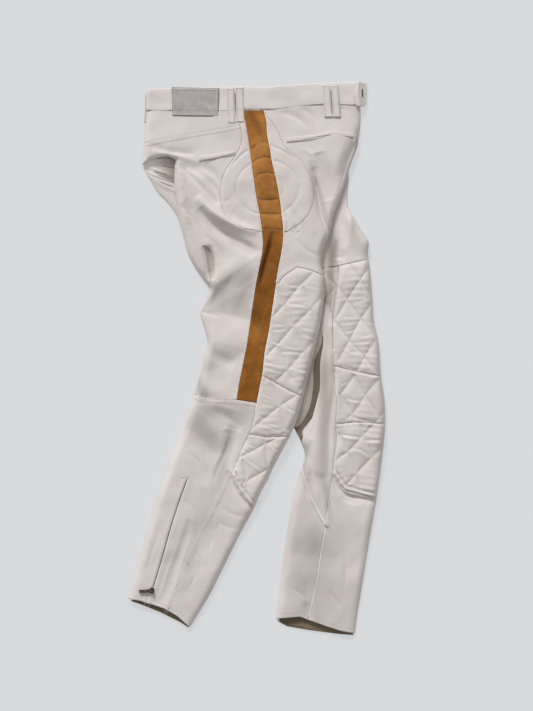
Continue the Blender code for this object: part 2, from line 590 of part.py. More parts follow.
def left_panels(cloth):
    """Plain pieces of the left half that show beside the right one."""
    cloth_panel("left_yoke", left_seat, (LEFT_SEAT_EDGE, moved(RIGHT_BACK_EDGE, 22.0)),
                (LEFT_SEAT_TOP, moved(LEFT_YOKE_SEAM, GAP)),
                spread(52.0, PLAIN_STEP, True, False, SEAT_RADIUS), spread(40.0, PLAIN_STEP), cloth)
    cloth_panel("left_back", left_seat, (LEFT_SEAT_EDGE, moved(RIGHT_BACK_EDGE, 22.0)),
                (moved(LEFT_YOKE_SEAM, -GAP), LEFT_SEAT_END),
                spread(52.0, PLAIN_STEP, True, False, SEAT_RADIUS), spread(92.0, PLAIN_STEP), cloth)
    cloth_panel("left_front", left_half, (LEFT_BACK_EDGE, valley, LEFT_FRONT_EDGE),
                (LEFT_FRONT_TOP, moved(LEFT_QUILT_TOP, GAP)),
                bands(np.array((0.0, 1.0)), spread(56.0, PLAIN_STEP, False, True)),
                spread(200.0, PLAIN_STEP), cloth)
    columns = bands(spread(34.0, PLAIN_STEP, True), spread(30.0, PLAIN_STEP))
    sides = (LEFT_BACK_EDGE, valley, moved(INSEAM, -GAP))
    cloth_panel("left_inner", left_half, sides,
                (moved(LEFT_QUILT_TOP, -GAP), moved(INNER_SEAM, STEEP_GAP)),
                columns, spread(450.0, PLAIN_STEP), cloth)
    cloth_panel("left_lower_inner", left_half, sides,
                (moved(INNER_SEAM, -STEEP_GAP), LEFT_HEM), columns,
                spread(250.0, PLAIN_STEP), cloth)
    cloth_panel("left_lower_front", left_half, (moved(INSEAM, GAP), LEFT_FRONT_EDGE),
                (moved(LEFT_QUILT_END, -STEEP_GAP), LEFT_HEM),
                spread(96.0, PLAIN_STEP, False, True), spread(280.0, PLAIN_STEP), cloth)


def slab(x, y, depth=0.0):
    """Underside lying flat on the surface."""
    return x, y, np.full(np.shape(x), CLOTH - depth)


def lifted(x, y, depth=0.0):
    """Underside of the right leg: flat, then up over the left leg's edge."""
    rise = eased(x - LEFT_BACK_EDGE(y) + RAMP_START, RAMP_START - RAMP_END)
    return x, y, CLOTH - depth + FRONT_EDGE_BASE(y) * rise


def ramp(before, inside):
    """Line where the right leg's underside starts or ends its climb onto the left leg."""
    return lambda y: np.minimum(LEFT_BACK_EDGE(y) - before, RIGHT_FRONT_EDGE(y) - inside)


def undersides(cloth, band):
    """Lower cloth: left waistband, left seat, and the underside of each leg."""
    cloth_panel("waistband_left", slab,
                (moved(SEAT_EDGE, LOW_INSET), moved(RIGHT_FRONT_EDGE, -BAND_END - LOW_INSET)),
                (WAIST_TOP, moved(WAIST_SEAM, GAP)), spread(420.0, 40.0), spread(44.0, 22.0), band)
    cloth_panel("seat_underside", slab, (SEAT_SIDE, FRONT_SIDE),
                (moved(WAIST_SEAM, -GAP), moved(CROTCH_SEAM, GAP)), spread(400.0, 40.0),
                spread(330.0, SLAB_STEP), cloth)
    cloth_panel("right_leg_underside", lifted,
                (moved(RIGHT_BACK_EDGE, 8.0), ramp(RAMP_START, 12.0), ramp(RAMP_END, 8.0),
                 moved(RIGHT_FRONT_EDGE, -UNDER_INSET)),
                (moved(CROTCH_SEAM, -GAP), RIGHT_HEM_UNDER),
                bands(spread(140.0, 45.0), np.array((0.0, 1.0)), np.array((0.0, 1.0))),
                spread(690.0, 19.0), cloth)
    cloth_panel("left_leg_underside", slab,
                (moved(LEFT_BACK_EDGE, LOW_INSET), moved(LEFT_FRONT_EDGE, -UNDER_INSET)),
                (cross_seam((90, 125), (240, 125)), LEFT_HEM_UNDER), spread(150.0, 50.0),
                spread(670.0, SLAB_STEP), cloth)


def on_right_half(x, y, depth=0.0):
    """Surface that carries what is sewn on: just clear of the cloth and the waistband."""
    step = BAND_PROUD * eased(y - WAIST_SEAM(x) + 3.0, 6.0)
    x, y, z = right_half(x, y, 0.0)
    return x, y, z + step + CLEAR - depth


def sewn_on(name, sides, seams, columns, rows, finish, thickness):
    """Small flat piece laid on the right half."""
    cloth_panel(name, on_right_half, sides, seams, columns, rows, finish, plain, thickness,
                thickness)


def tab_surface(x, y, depth=0.0):
    """Closure tab: over the end of the waistband, then drooping past it."""
    return x, y, CLOSURE_TOP - CLOSURE_DROP * eased(x - 202.0, 20.0) - depth


def closure_tab(band):
    """Short folded tab at the front end of the waistband."""
    cloth_panel("closure_tab", tab_surface, CLOSURE_SIDES, CLOSURE_SEAMS,
                spread(24.0, 6.0), spread(48.0, 12.0), band, thickness=CLOSURE)


def box(name, low, high, group, owner=None):
    """Box between two corners, in its owner's frame."""
    mesh = bpy.data.meshes.new(name)
    shape = bmesh.new()
    bmesh.ops.create_cube(shape, size=1.0)
    for vert in shape.verts:
        vert.co = [(low[k] + high[k]) / 2 + vert.co[k] * (high[k] - low[k]) for k in range(3)]
    bmesh.ops.scale(shape, vec=(MM, MM, MM), verts=shape.verts)
    shape.to_mesh(mesh)
    shape.free()
    return placed(name, mesh, group, owner)


def rod(name, radius, half_length, group, owner=None):
    """Rod along its owner's y axis, with its middle on the owner's origin."""
    mesh = bpy.data.meshes.new(name)
    shape = bmesh.new()
    bmesh.ops.create_cone(shape, cap_ends=True, segments=12, radius1=radius, radius2=radius,
                          depth=2 * half_length)
    bmesh.ops.rotate(shape, verts=shape.verts, matrix=Matrix.Rotation(math.pi / 2, 3, "X"))
    bmesh.ops.scale(shape, vec=(MM, MM, MM), verts=shape.verts)
    shape.to_mesh(mesh)
    shape.free()
    return placed(name, mesh, group, owner)


def placed(name, mesh, group, owner):
    piece = bpy.data.objects.new(name, mesh)
    bpy.data.collections[group].objects.link(piece)
    piece.parent = owner
    if group == "cutters":
        piece.hide_render = True
        piece.display_type = "WIRE"
    return piece


def combine(piece, other, operation):
    """Union with another shape, or cut by it."""
    step = piece.modifiers.new(other.name, "BOOLEAN")
    step.operation = operation
    step.object = other


def zip_slider(metal):
    """Slider at the foot of the ankle zip, with two ears and a pin for its pull tab."""
    width, length, height = SLIDER_SIZE
    base = float(right_half(np.array(SLIDER[0]), np.array(SLIDER[1]))[2]) + 0.6
    axis_height = base + height + TAB_BARREL + 0.3
    pivot = bpy.data.objects.new("pull_tab_pivot", None)
    bpy.data.collections["motocross_trousers"].objects.link(pivot)
    pivot.location = Vector((SLIDER[0], SLIDER[1], axis_height)) * MM
    pivot.rotation_euler = (0.0, 0.0, math.pi + TAB_TURN)
    drop = base - axis_height
    slider = box("zip_slider", (-width / 2, -length / 2, drop), (width / 2, length / 2, drop + height),
                 "motocross_trousers", pivot)
    ear_in = TAB_WIDTH / 2 + PIN_PLAY
    for side, name in ((-1, "left_ear"), (1, "right_ear")):
        ends = sorted((side * ear_in, side * (ear_in + EAR_WIDTH)))
        ear = box(name, (-1.6, ends[0], drop + 1.0), (1.6, ends[1], 1.6), "cutters", pivot)
        combine(slider, ear, "UNION")
    combine(slider, rod("slider_pin", TAB_PIN, ear_in + EAR_WIDTH / 2, "cutters", pivot), "UNION")
    slider.data.materials.append(metal)
    tab = box("zip_pull_tab", (0.6, -TAB_WIDTH / 2, -TAB_PLATE / 2),
              (TAB_LENGTH, TAB_WIDTH / 2, TAB_PLATE / 2), "motocross_trousers", pivot)
    tab.rotation_euler = (0.0, TAB_DROOP, 0.0)
    combine(tab, rod("tab_barrel", TAB_BARREL, TAB_WIDTH / 2, "cutters", tab), "UNION")
    combine(tab, rod("tab_bore", TAB_PIN + PIN_PLAY, TAB_WIDTH, "cutters", tab), "DIFFERENCE")
    tab.data.materials.append(metal)


def trims(cloth, patch):
    """Patch, belt loops and pocket welts."""
    sewn_on("leather_patch", PATCH_SIDES, PATCH_SEAMS, spread(92.0, 8.0), spread(57.0, 8.0),
            patch, PATCH)
    for name, low, high, width in LOOPS:
        side = line(low, high)
        sewn_on(name, (side, moved(side, width - 0.8)), (level(high[0] - 2.0), level(low[0])),
                spread(16.0, 8.0), spread(68.0, 8.0), cloth, LOOP)
    for name, left, right, top in WELTS:
        sewn_on(name, (level(left), level(right)), (top, moved(top, -WELT_WIDTH)),
                spread(right - left, 8.0), spread(WELT_WIDTH, 8.0), cloth, WELT)


def main():
    for old in list(bpy.data.objects):
        bpy.data.objects.remove(old)
    for name in ("motocross_trousers", "cutters"):
        bpy.context.scene.collection.children.link(bpy.data.collections.new(name))
    cloth = material("cotton_twill", (0.62, 0.56, 0.51), 0.85)
    band = material("waistband_twill", (0.60, 0.55, 0.50), 0.85)
    suede = material("tan_suede", (0.26, 0.12, 0.035), 0.9)
    patch = material("grey_leather", (0.27, 0.24, 0.22), 0.6)
    metal = material("dark_zip_metal", (0.12, 0.11, 0.10), 0.4, 1.0)
    waistband(band)
    right_seat(cloth)
    hip_pad(cloth)
    stripe(suede)
    right_quilts(cloth)
    right_lower_leg(cloth)
    ankle_zip(metal)
    left_quilts(cloth)
    left_panels(cloth)
    undersides(cloth, band)
    trims(cloth, patch)
    closure_tab(band)
    zip_slider(metal)


main()
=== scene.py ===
"""Looks of a pair of off-white cotton motocross trousers lying flat, seen from straight above.

Every cloth piece is a closed thin shell on the form of the solid it stands for, on a finer grid,
with the sewing, the quilting and the creases traced from the photo.  Tables are in
millimetres in the row frame: +X to the wearer's front, +Y to the waist, +Z up.
"""
import math
import bpy
import numpy as np
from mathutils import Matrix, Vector


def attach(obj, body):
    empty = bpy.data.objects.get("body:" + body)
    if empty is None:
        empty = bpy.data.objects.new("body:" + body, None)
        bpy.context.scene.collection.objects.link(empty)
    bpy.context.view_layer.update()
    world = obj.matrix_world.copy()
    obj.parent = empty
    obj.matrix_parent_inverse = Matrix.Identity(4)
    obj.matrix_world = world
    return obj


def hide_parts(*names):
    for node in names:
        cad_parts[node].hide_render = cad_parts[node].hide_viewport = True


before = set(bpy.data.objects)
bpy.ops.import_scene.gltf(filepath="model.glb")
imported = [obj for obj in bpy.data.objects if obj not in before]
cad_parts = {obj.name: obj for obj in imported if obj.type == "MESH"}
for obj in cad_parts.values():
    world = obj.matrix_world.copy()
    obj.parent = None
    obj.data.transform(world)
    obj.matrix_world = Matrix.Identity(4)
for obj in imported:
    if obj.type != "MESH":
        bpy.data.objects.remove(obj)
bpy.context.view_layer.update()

MM = 0.001

# Driving dimensions, in millimetres unless they say otherwise
SHELL = 1.2             # cloth shell
BAND_SHELL = 3.0        # folded waistband
CLEAR = 0.8             # gap under a piece that lies on a panel
EDGE_RADIUS = 18.0      # how gently the cloth turns over at the outline
BAND_EDGE_RADIUS = 8.0  # the same at the waistband
UNDER_INSET = 2.6       # how far an underside stays inside the outline, and inside a hidden edge
LOW_INSET = 5.5
LIFT = 6.2              # height of the left leg under the right one's edge
RAMP_START = 26.0       # where the right leg's underside starts and ends its climb onto it
RAMP_END = 6.0
TUCKED = 4.5            # height of the left half where it runs under the right one
UNDER_CLOTH = 1.8       # cloth of the undersides
BACKING_CLOTH = 0.4     # cloth of the seam allowances, and how deep it lies under a panel's face
BACKING_DEPTH = 2.6
BACKING_INSET = 9.0     # how far the seam allowances stay inside the outline
FOLD_MOUTH = -210.0     # X where the seat's fold opens, and where it ends
FOLD_END = -164.0
SEAT_TURN = 8.0         # how gently the strip of seat beside the fold turns over
PAD_FOOT = 254.5        # Y where the hip pad ends and the panels meet the stripe
LOWEST = 3.5            # least height of a lower panel's face, so that it clears the underside
QUILT_PUFF = 3.8        # wadding between quilting lines, in the hip pad and in the channels
PAD_PUFF = 1.7
CHANNEL_PUFF = 4.0
PLAIN_STEP = 2.2        # grid of a plain panel
FINE_STEP = 1.7         # grid of a quilted or sewn-on piece
UNDER_STEP = 7.0        # grid of the underside
SLIT = 0.4              # half width of the open line along the ankle zip
TOOTH_PITCH = 1.6       # zip teeth
STITCH = 2.6            # a stitch, its pitch and the thread's half thickness
STITCH_PITCH = 3.4
THREAD = 0.33
NEAR_ROW = 1.9          # the two stitch rows beside a seam
FAR_ROW = 6.8
WIDE_BAND = 0.5         # least height of a felled band that has the far row too
HEM_ROW = 9.0           # stitch rows beside the hem, the zip and the waistband's edges
ZIP_ROW = 4.6
BAND_ROW = 3.0
SEWING_FADE = 9.0       # how far from a turned edge the sewing dies out
SEAM_REACH = 22.0       # how far beside it a seam, and a line of quilting, still shapes the cloth
PUFF_REACH = 40.0
SLOPE_REACH = 5.0       # stretch over which an edge's slope is read, each way
SETTLING_ROUNDS = 60    # readings of a seam's height until it has settled
TURN_ANGLES = tuple(range(0, 90, 9))  # degrees, grid lines where the cloth turns over


def line(*pairs):
    """Smooth line through (y, x) pairs: a cubic between two pairs, straight past the ends."""
    places = np.array(sorted(pairs), float)
    at, value = places[:, 0], places[:, 1]
    slope = np.gradient(value, at)

    def read(y):
        y = np.asarray(y, float)
        k = np.clip(np.searchsorted(at, y) - 1, 0, len(at) - 2)
        span = at[k + 1] - at[k]
        u = np.clip((y - at[k]) / span, 0.0, 1.0)
        rise = value[k + 1] - value[k]
        a = slope[k] * span - rise
        b = rise - slope[k + 1] * span
        past = np.where(y < at[0], (y - at[0]) * slope[0], 0.0)
        past = past + np.where(y > at[-1], (y - at[-1]) * slope[-1], 0.0)
        return value[k] + rise * u + u * (1 - u) * (a * (1 - u) + b * u) + past
    return read


def cross_seam(*pairs):
    """Line across the garment through (x, y) pairs, level past its ends."""
    places = np.array(sorted(pairs), float)
    return lambda x: np.interp(x, places[:, 0], places[:, 1])


def moved(seam, shift):
    """The same line, moved sideways or along by a shift."""
    return lambda at: seam(at) + shift


def level(value):
    """Cross seam at one height, or long side at one place across."""
    return lambda at: np.full(np.shape(at), float(value))


# Right half: its edges and long seams, (y, x)
SEAT_EDGE = line((554, -216), (534, -219), (498, -220), (448, -224), (414, -226), (386, -228))
RIGHT_BACK_EDGE = line(
    (402, -161), (362, -164), (322, -160), (282, -154), (246, -146), (214, -138), (182, -122),
    (156, -104), (142, -94), (124, -100), (94, -112), (62, -104), (34, -98), (-2, -106),
    (-38, -114), (-72, -124), (-112, -138), (-154, -152), (-192, -168), (-232, -182),
    (-272, -196), (-322, -212), (-372, -226), (-414, -238), (-454, -250), (-492, -260))
RIGHT_FRONT_EDGE = line(
    (554, 206), (506, 210), (482, 210), (448, 207), (422, 202), (396, 192), (358, 180),
    (322, 168), (288, 156), (252, 148), (222, 136), (190, 132), (158, 138), (118, 136),
    (78, 130), (38, 122), (-22, 108), (-82, 94), (-122, 82), (-142, 74), (-182, 54),
    (-212, 38), (-242, 24), (-272, 8), (-300, -4), (-352, -32), (-392, -52), (-432, -72),
    (-472, -92), (-506, -112), (-538, -132))
STRIPE_BACK = line(
    (508, -28), (468, -20), (418, -12), (358, -4), (318, 2), (288, 8), (258, 12), (228, 14),
    (208, 12), (178, 6), (148, 0), (108, -6), (68, -12), (28, -18), (-12, -26), (-52, -34),
    (-92, -40))
FRONT_SEAM = line(
    (508, 12), (478, 20), (448, 22), (418, 28), (392, 32), (368, 38), (338, 44), (314, 48),
    (288, 51), (262, 54), (238, 54), (208, 50), (178, 44), (138, 38), (98, 32), (58, 26),
    (18, 18), (-32, 12), (-62, 6), (-88, 1), (-132, -6), (-152, -14), (-176, -26),
    (-202, -36), (-230, -48), (-276, -68), (-342, -102), (-382, -122), (-422, -140),
    (-452, -156), (-492, -172), (-518, -178))
PAD_BACK = line((472, -32), (428, -30), (408, -40), (378, -60), (348, -70), (328, -72),
                (304, -68), (290, -62), (278, -52), (268, -38), (262, -26), (255, 12))
PAD_FRONT = line((500, 17), (484, 23), (470, 35), (450, 46), (430, 55), (414, 68), (398, 88),
                 (378, 103), (355, 113), (328, 118), (302, 112), (278, 97), (264, 80), (254, 57))
ZIP_LINE = line((-70, -80), (-162, -106), (-242, -138), (-292, -156), (-342, -172),
                (-392, -186), (-432, -198), (-458, -206), (-506, -224))

# Left half: its edges and long seams, (y, x)
LEFT_SEAT_EDGE = line((404, -226), (384, -227), (358, -212), (332, -196), (318, -182),
                      (278, -156), (262, -152))
LEFT_BACK_EDGE = line(
    (404, 164), (358, 148), (318, 136), (252, 118), (190, 104), (118, 100), (78, 98),
    (38, 90), (-22, 76), (-52, 70), (-82, 66), (-122, 70), (-138, 76), (-162, 88),
    (-198, 98), (-218, 92), (-242, 84), (-272, 76), (-312, 68), (-362, 60), (-402, 54),
    (-452, 48), (-502, 42), (-526, 38))
LEFT_FRONT_EDGE = line(
    (400, 195), (386, 188), (358, 186), (328, 184), (302, 186), (282, 198), (258, 212),
    (238, 225), (208, 225), (188, 228), (118, 234), (68, 238), (44, 244), (-42, 252),
    (-82, 258), (-142, 259), (-192, 254), (-242, 248), (-282, 242), (-362, 228),
    (-462, 212), (-522, 202), (-554, 198))
INSEAM = line(
    (202, 166), (168, 164), (118, 158), (74, 154), (-14, 156), (-82, 162), (-130, 160),
    (-162, 162), (-202, 156), (-232, 154), (-262, 148), (-302, 144), (-342, 138),
    (-402, 128), (-442, 122), (-506, 108), (-526, 104))

# Left half's edge of the gap between the legs, where its cloth starts to rise, (y, x)
GAP_LINE = line((404, 214), (358, 200), (322, 188), (288, 176), (252, 168), (202, 160), (160, 154),
                (118, 147), (78, 142), (28, 140), (-2, 135), (-62, 133), (-102, 123), (-142, 108),
                (-165, 96), (-192, 84), (-240, 50), (-560, -80))
# Right edge of the cloth painted dark as shade at the bottom of the gap, (y, x)
GAP_EDGE = line((98, 136), (78, 142), (28, 142), (-2, 137), (-62, 136), (-102, 126), (-126, 106),
                (-142, 93), (-165, 97), (-190, 100))
# Free edge of the strip of the right leg's inner side that shows in the gap, (y, x)
INNER_STRIP_EDGE = line((118, 139), (78, 133), (28, 130), (-2, 118), (-62, 114), (-102, 106),
                        (-132, 88), (-140, 80))

# Cross seams and ends, (x, y)
WAIST_TOP = cross_seam((-216, 540), (-168, 542), (-32, 546), (12, 544), (128, 552), (206, 554))
WAIST_SEAM = cross_seam((-220, 498), (-60, 496), (-26, 500), (38, 500), (88, 506),
                        (132, 510), (212, 508))
YOKE_SEAM = cross_seam((-224, 432), (-162, 444), (-112, 454), (-62, 462), (-20, 472))
SEAT_LIP = cross_seam((-228, 388), (-212, 398), (-192, 404), (-176, 406), (-160, 398))
PAD_END = cross_seam((-40, 254.6), (80, 254.6))
KNEE_BACK_SEAM = cross_seam((-124, -70), (-102, -80), (-38, -82), (2, -88))
QUILT_TOP = cross_seam((40, 146), (56, 166), (82, 184), (108, 178), (138, 166))
QUILT_KNEE = cross_seam((14, -34), (68, -64), (94, -76))
QUILT_SHIN = cross_seam((-18, -150), (18, -156), (72, -154))
QUILT_END = cross_seam((-48, -230), (-40, -252), (-26, -272), (-4, -300))
ZIP_TOP = cross_seam((-182, -240), (-40, -240))
RIGHT_HEM = cross_seam((-258, -480), (-232, -484), (-200, -494), (-182, -500), (-156, -516),
                       (-132, -538))
RIGHT_HEM_UNDER = cross_seam((-258, -483), (-232, -492), (-192, -508), (-152, -528),
                             (-132, -541))
LEFT_SEAT_TOP = cross_seam((-230, 402), (-150, 402))
LEFT_YOKE_SEAM = cross_seam((-224, 372), (-160, 350))
LEFT_SEAT_END = cross_seam((-160, 264), (-130, 264))
LEFT_FRONT_TOP = cross_seam((150, 388), (200, 388))
LEFT_QUILT_TOP = cross_seam((104, 180), (166, 186), (228, 200))
LEFT_QUILT_KNEE = cross_seam((156, -14), (202, -26), (250, -34))
LEFT_QUILT_SHIN = cross_seam((160, -130), (198, -126), (258, -130))
LEFT_QUILT_END = cross_seam((154, -228), (168, -252), (178, -262), (208, -270), (242, -278))
INNER_SEAM = cross_seam((90, -216), (98, -250), (108, -280), (122, -306), (140, -338))
LEFT_HEM = cross_seam((40, -520), (88, -516), (104, -522), (138, -534), (168, -544), (198, -550))
LEFT_HEM_UNDER = cross_seam((40, -524), (62, -536), (108, -544), (168, -552), (198, -554))
CROTCH_SEAM = cross_seam((-152, 262), (100, 126), (240, 126))

# Height of each half's crown over the surface, (y, z)
RIGHT_CROWN = line((554, 13), (500, 14), (440, 19), (380, 22), (300, 24), (200, 26), (100, 26),
                   (0, 25), (-80, 23), (-160, 22), (-240, 20), (-360, 17), (-460, 15),
                   (-540, 13))
LEFT_CROWN = line((400, 12), (330, 14), (260, 20), (200, 22), (100, 24), (0, 24), (-100, 22),
                  (-200, 20), (-300, 18), (-400, 16), (-500, 13), (-554, 12))

# Height of the right half's two turned edges: they lie on the left half, then on the surface
BACK_EDGE_BASE = cross_seam((-600, 0), (238, 0), (262, LIFT), (400, LIFT))
SEAT_EDGE_BASE = cross_seam((412, LIFT), (440, 0), (600, 0))
FRONT_EDGE_BASE = cross_seam((-190, 0), (-146, LIFT), (404, LIFT), (436, 0))
LIP_BASE = cross_seam((-228, 8.5), (-212, 12), (-192, 14), (-176, 13.5), (-160, 9))
LIP_RADIUS = 15.0
FOLD_CORNER = (-160.0, 398.0)

# Largest folds: depth (up is positive), half width, and the path as (x, y) points
RIGHT_FOLDS = (
    dict(name="hip ridge", depth=7.0, width=10.0, path=((-116, 324), (-82, 290), (-32, 262), (0, 252))),
    dict(name="hip trough", depth=-7.0, width=10.0, path=((-112, 302), (-88, 270), (-48, 246), (0, 210))),
    dict(name="seat trough", depth=-5.0, width=12.0, path=((-156, 390), (-88, 370), (-74, 308))),
    dict(name="seat pocket", depth=-9.0, width=10.0, path=((-98, 226), (-92, 190), (-90, 156))),
    dict(name="thigh trough", depth=-6.0, width=16.0, path=((-2, 208), (-56, 150), (-112, 98))),
    dict(name="back of knee", depth=-4.0, width=12.0, path=((-102, 18), (-42, -12))),
    dict(name="calf wrinkle", depth=-3.0, width=14.0, path=((-82, -92), (-32, -142))),
    dict(name="shin wrinkle", depth=-3.0, width=13.0, path=((-62, -142), (-42, -222))),
    dict(name="ankle trough", depth=-4.0, width=12.0, path=((-132, -322), (-196, -492))),
    dict(name="front trough", depth=-7.0, width=16.0, path=((124, 412), (148, 318))),
    dict(name="front crease", depth=-5.0, width=9.0, path=((114, 382), (128, 318), (148, 252))),
)
LEFT_FOLDS = (
    dict(name="front ridge", depth=5.0, width=9.0, path=((186, 374), (170, 298), (164, 268), (172, 208))),
    dict(name="inner ridge", depth=5.0, width=10.0, path=((148, 18), (158, -82), (148, -162), (138, -242))),
    dict(name="hem pleat", depth=-2.4, width=8.0, path=((102, -488), (104, -522))),
)


def traced(*places):
    """Places traced on the photo, in pixels, as millimetres in the row frame."""
    return [(2.0 * across - 512.0, 718.0 - 2.0 * down) for across, down in places]


def traced_folds(*rows):
    """Table of traced folds: each row has its depth, its half width (or the two left and right of
    its course) and its path."""
    return [(depth, width, traced(*path)) for depth, width, path in rows]


# Quilting lines, traced
RIGHT_QUILTING = [traced(*path) for path in (
    ((273, 316), (283, 306), (297, 289), (313, 273)),
    ((267, 355), (276, 346), (292, 328), (308, 312), (322, 297)),
    ((275, 382), (290, 367), (302, 353), (309, 346), (317, 337)),
    ((252, 428), (262, 420), (280, 406), (297, 394), (310, 376)),
    ((240, 457), (250, 452), (265, 444), (277, 438), (285, 433), (293, 424)),
    ((239, 486), (255, 476), (266, 470), (279, 459)),
    ((276, 286), (284, 305), (293, 326), (303, 349), (311, 374)),
    ((303, 288), (311, 308), (319, 333)),
    ((271, 332), (278, 348), (286, 367), (291, 379)),
    ((272, 384), (278, 400), (281, 412), (285, 427), (289, 438)),
    ((264, 437), (266, 452), (268, 470), (268, 482)),
    ((243, 461), (246, 478), (247, 492)))]
LEFT_QUILTING = [traced(*path) for path in (
    ((322, 266), (326, 272), (336, 286)),
    ((324, 300), (330, 293), (336, 286)),
    ((326, 300), (331, 310), (335, 322)),
    ((350, 265), (361, 281), (373, 300)),
    ((329, 276), (338, 287), (347, 300), (360, 318), (377, 339)),
    ((334, 321), (349, 340), (364, 357), (381, 377)),
    ((354, 377), (364, 394), (379, 416), (385, 426)),
    ((340, 394), (351, 412), (356, 423)),
    ((361, 424), (364, 435), (372, 456), (380, 474)),
    ((339, 434), (347, 450), (356, 473), (361, 489)),
    ((333, 323), (347, 300), (360, 280), (371, 265)),
    ((339, 359), (349, 341), (360, 320), (374, 300)),
    ((357, 371), (364, 358), (377, 337)),
    ((340, 395), (354, 376)),
    ((349, 417), (357, 408), (366, 394), (381, 376)),
    ((337, 459), (348, 451), (363, 435), (379, 418), (386, 409)),
    ((346, 485), (357, 473), (372, 457), (385, 445)))]

# Puckers across the quilting, traced: depth, half width, path
RIGHT_PUCKERS = traced_folds(
    (1.5, 2.4, ((286, 303), (298, 305), (311, 308))),
    (1.8, 2.4, ((281, 352), (292, 352), (303, 353))),
    (1.3, 2.4, ((267, 363), (276, 365), (286, 366))),
    (1.1, 2.2, ((268, 369), (276, 371), (284, 372))),
    (1.3, 2.4, ((290, 367), (302, 370), (313, 372))),
    (1.0, 2.2, ((272, 324), (284, 325))),
    (1.2, 2.2, ((271, 330), (280, 330), (286, 329))),
    (1.2, 2.0, ((272, 340), (276, 343), (281, 344))),
    (1.1, 2.0, ((279, 291), (284, 293), (290, 294))),
    (0.9, 2.2, ((286, 284), (294, 286), (301, 286))),
    (0.8, 2.2, ((284, 290), (296, 292))),
    (0.8, 2.4, ((303, 285), (320, 289))),
    (1.0, 2.4, ((299, 326), (308, 329), (316, 330))),
    (1.1, 2.4, ((302, 334), (310, 337), (316, 338))),
    (0.9, 2.4, ((285, 345), (294, 348), (300, 348))),
    (1.4, 2.4, ((285, 407), (292, 410), (299, 414))),
    (1.0, 2.0, ((256, 414), (262, 417), (266, 419))),
    (0.9, 2.0, ((262, 394), (268, 396), (275, 399))),
    (0.9, 2.0, ((261, 402), (266, 405), (274, 406))),
    (1.3, 2.2, ((248, 434), (256, 434), (266, 436))),
    (1.1, 2.2, ((266, 433), (276, 436), (285, 438))),
    (1.1, 2.0, ((284, 428), (288, 431), (291, 434))),
    (1.2, 2.2, ((271, 446), (277, 450), (282, 454))),
    (1.4, 2.4, ((246, 458), (254, 464), (263, 470))),
    (1.1, 2.0, ((243, 449), (246, 452), (250, 453))),
    (0.9, 2.0, ((247, 443), (252, 446), (257, 447))),
    (1.1, 2.0, ((261, 476), (264, 479), (267, 483))),
    (1.0, 2.0, ((262, 424), (272, 428), (281, 431))),
    (0.8, 2.2, ((270, 423), (280, 427))))
LEFT_PUCKERS = traced_folds(
    (1.0, 2.4, ((341, 317), (350, 317), (358, 318))),
    (1.0, 2.4, ((353, 302), (361, 301), (368, 299))),
    (0.7, 2.4, ((336, 299), (346, 299))),
    (1.0, 2.4, ((340, 323), (349, 323), (358, 321))),
    (1.1, 2.4, ((343, 332), (351, 331), (357, 329))),
    (1.3, 2.4, ((350, 343), (360, 343), (370, 341))),
    (0.9, 2.4, ((356, 338), (366, 336), (376, 333))),
    (0.8, 2.2, ((362, 284), (372, 284))),
    (1.1, 2.2, ((366, 322), (371, 323), (376, 325))),
    (0.8, 2.2, ((367, 357), (374, 355), (380, 353))),
    (1.6, 2.2, ((344, 366), (352, 369), (360, 371))),
    (1.6, 2.2, ((360, 371), (369, 375), (378, 376))),
    (1.0, 2.2, ((340, 384), (348, 382))),
    (1.6, 2.4, ((346, 398), (353, 400), (361, 401))),
    (1.0, 2.2, ((339, 420), (346, 420), (351, 418))),
    (1.9, 2.4, ((353, 417), (363, 420), (376, 423))),
    (2.4, 2.6, ((341, 434), (350, 436), (362, 437))),
    (2.4, 2.6, ((366, 440), (375, 440), (384, 440))),
    (1.0, 2.2, ((339, 455), (345, 454))),
    (1.6, 2.6, ((351, 448), (361, 450), (371, 458))),
    (0.9, 2.2, ((344, 477), (353, 477))),
    (0.9, 2.2, ((348, 485), (360, 487))),
    (0.9, 2.6, ((343, 345), (352, 352), (360, 350))))

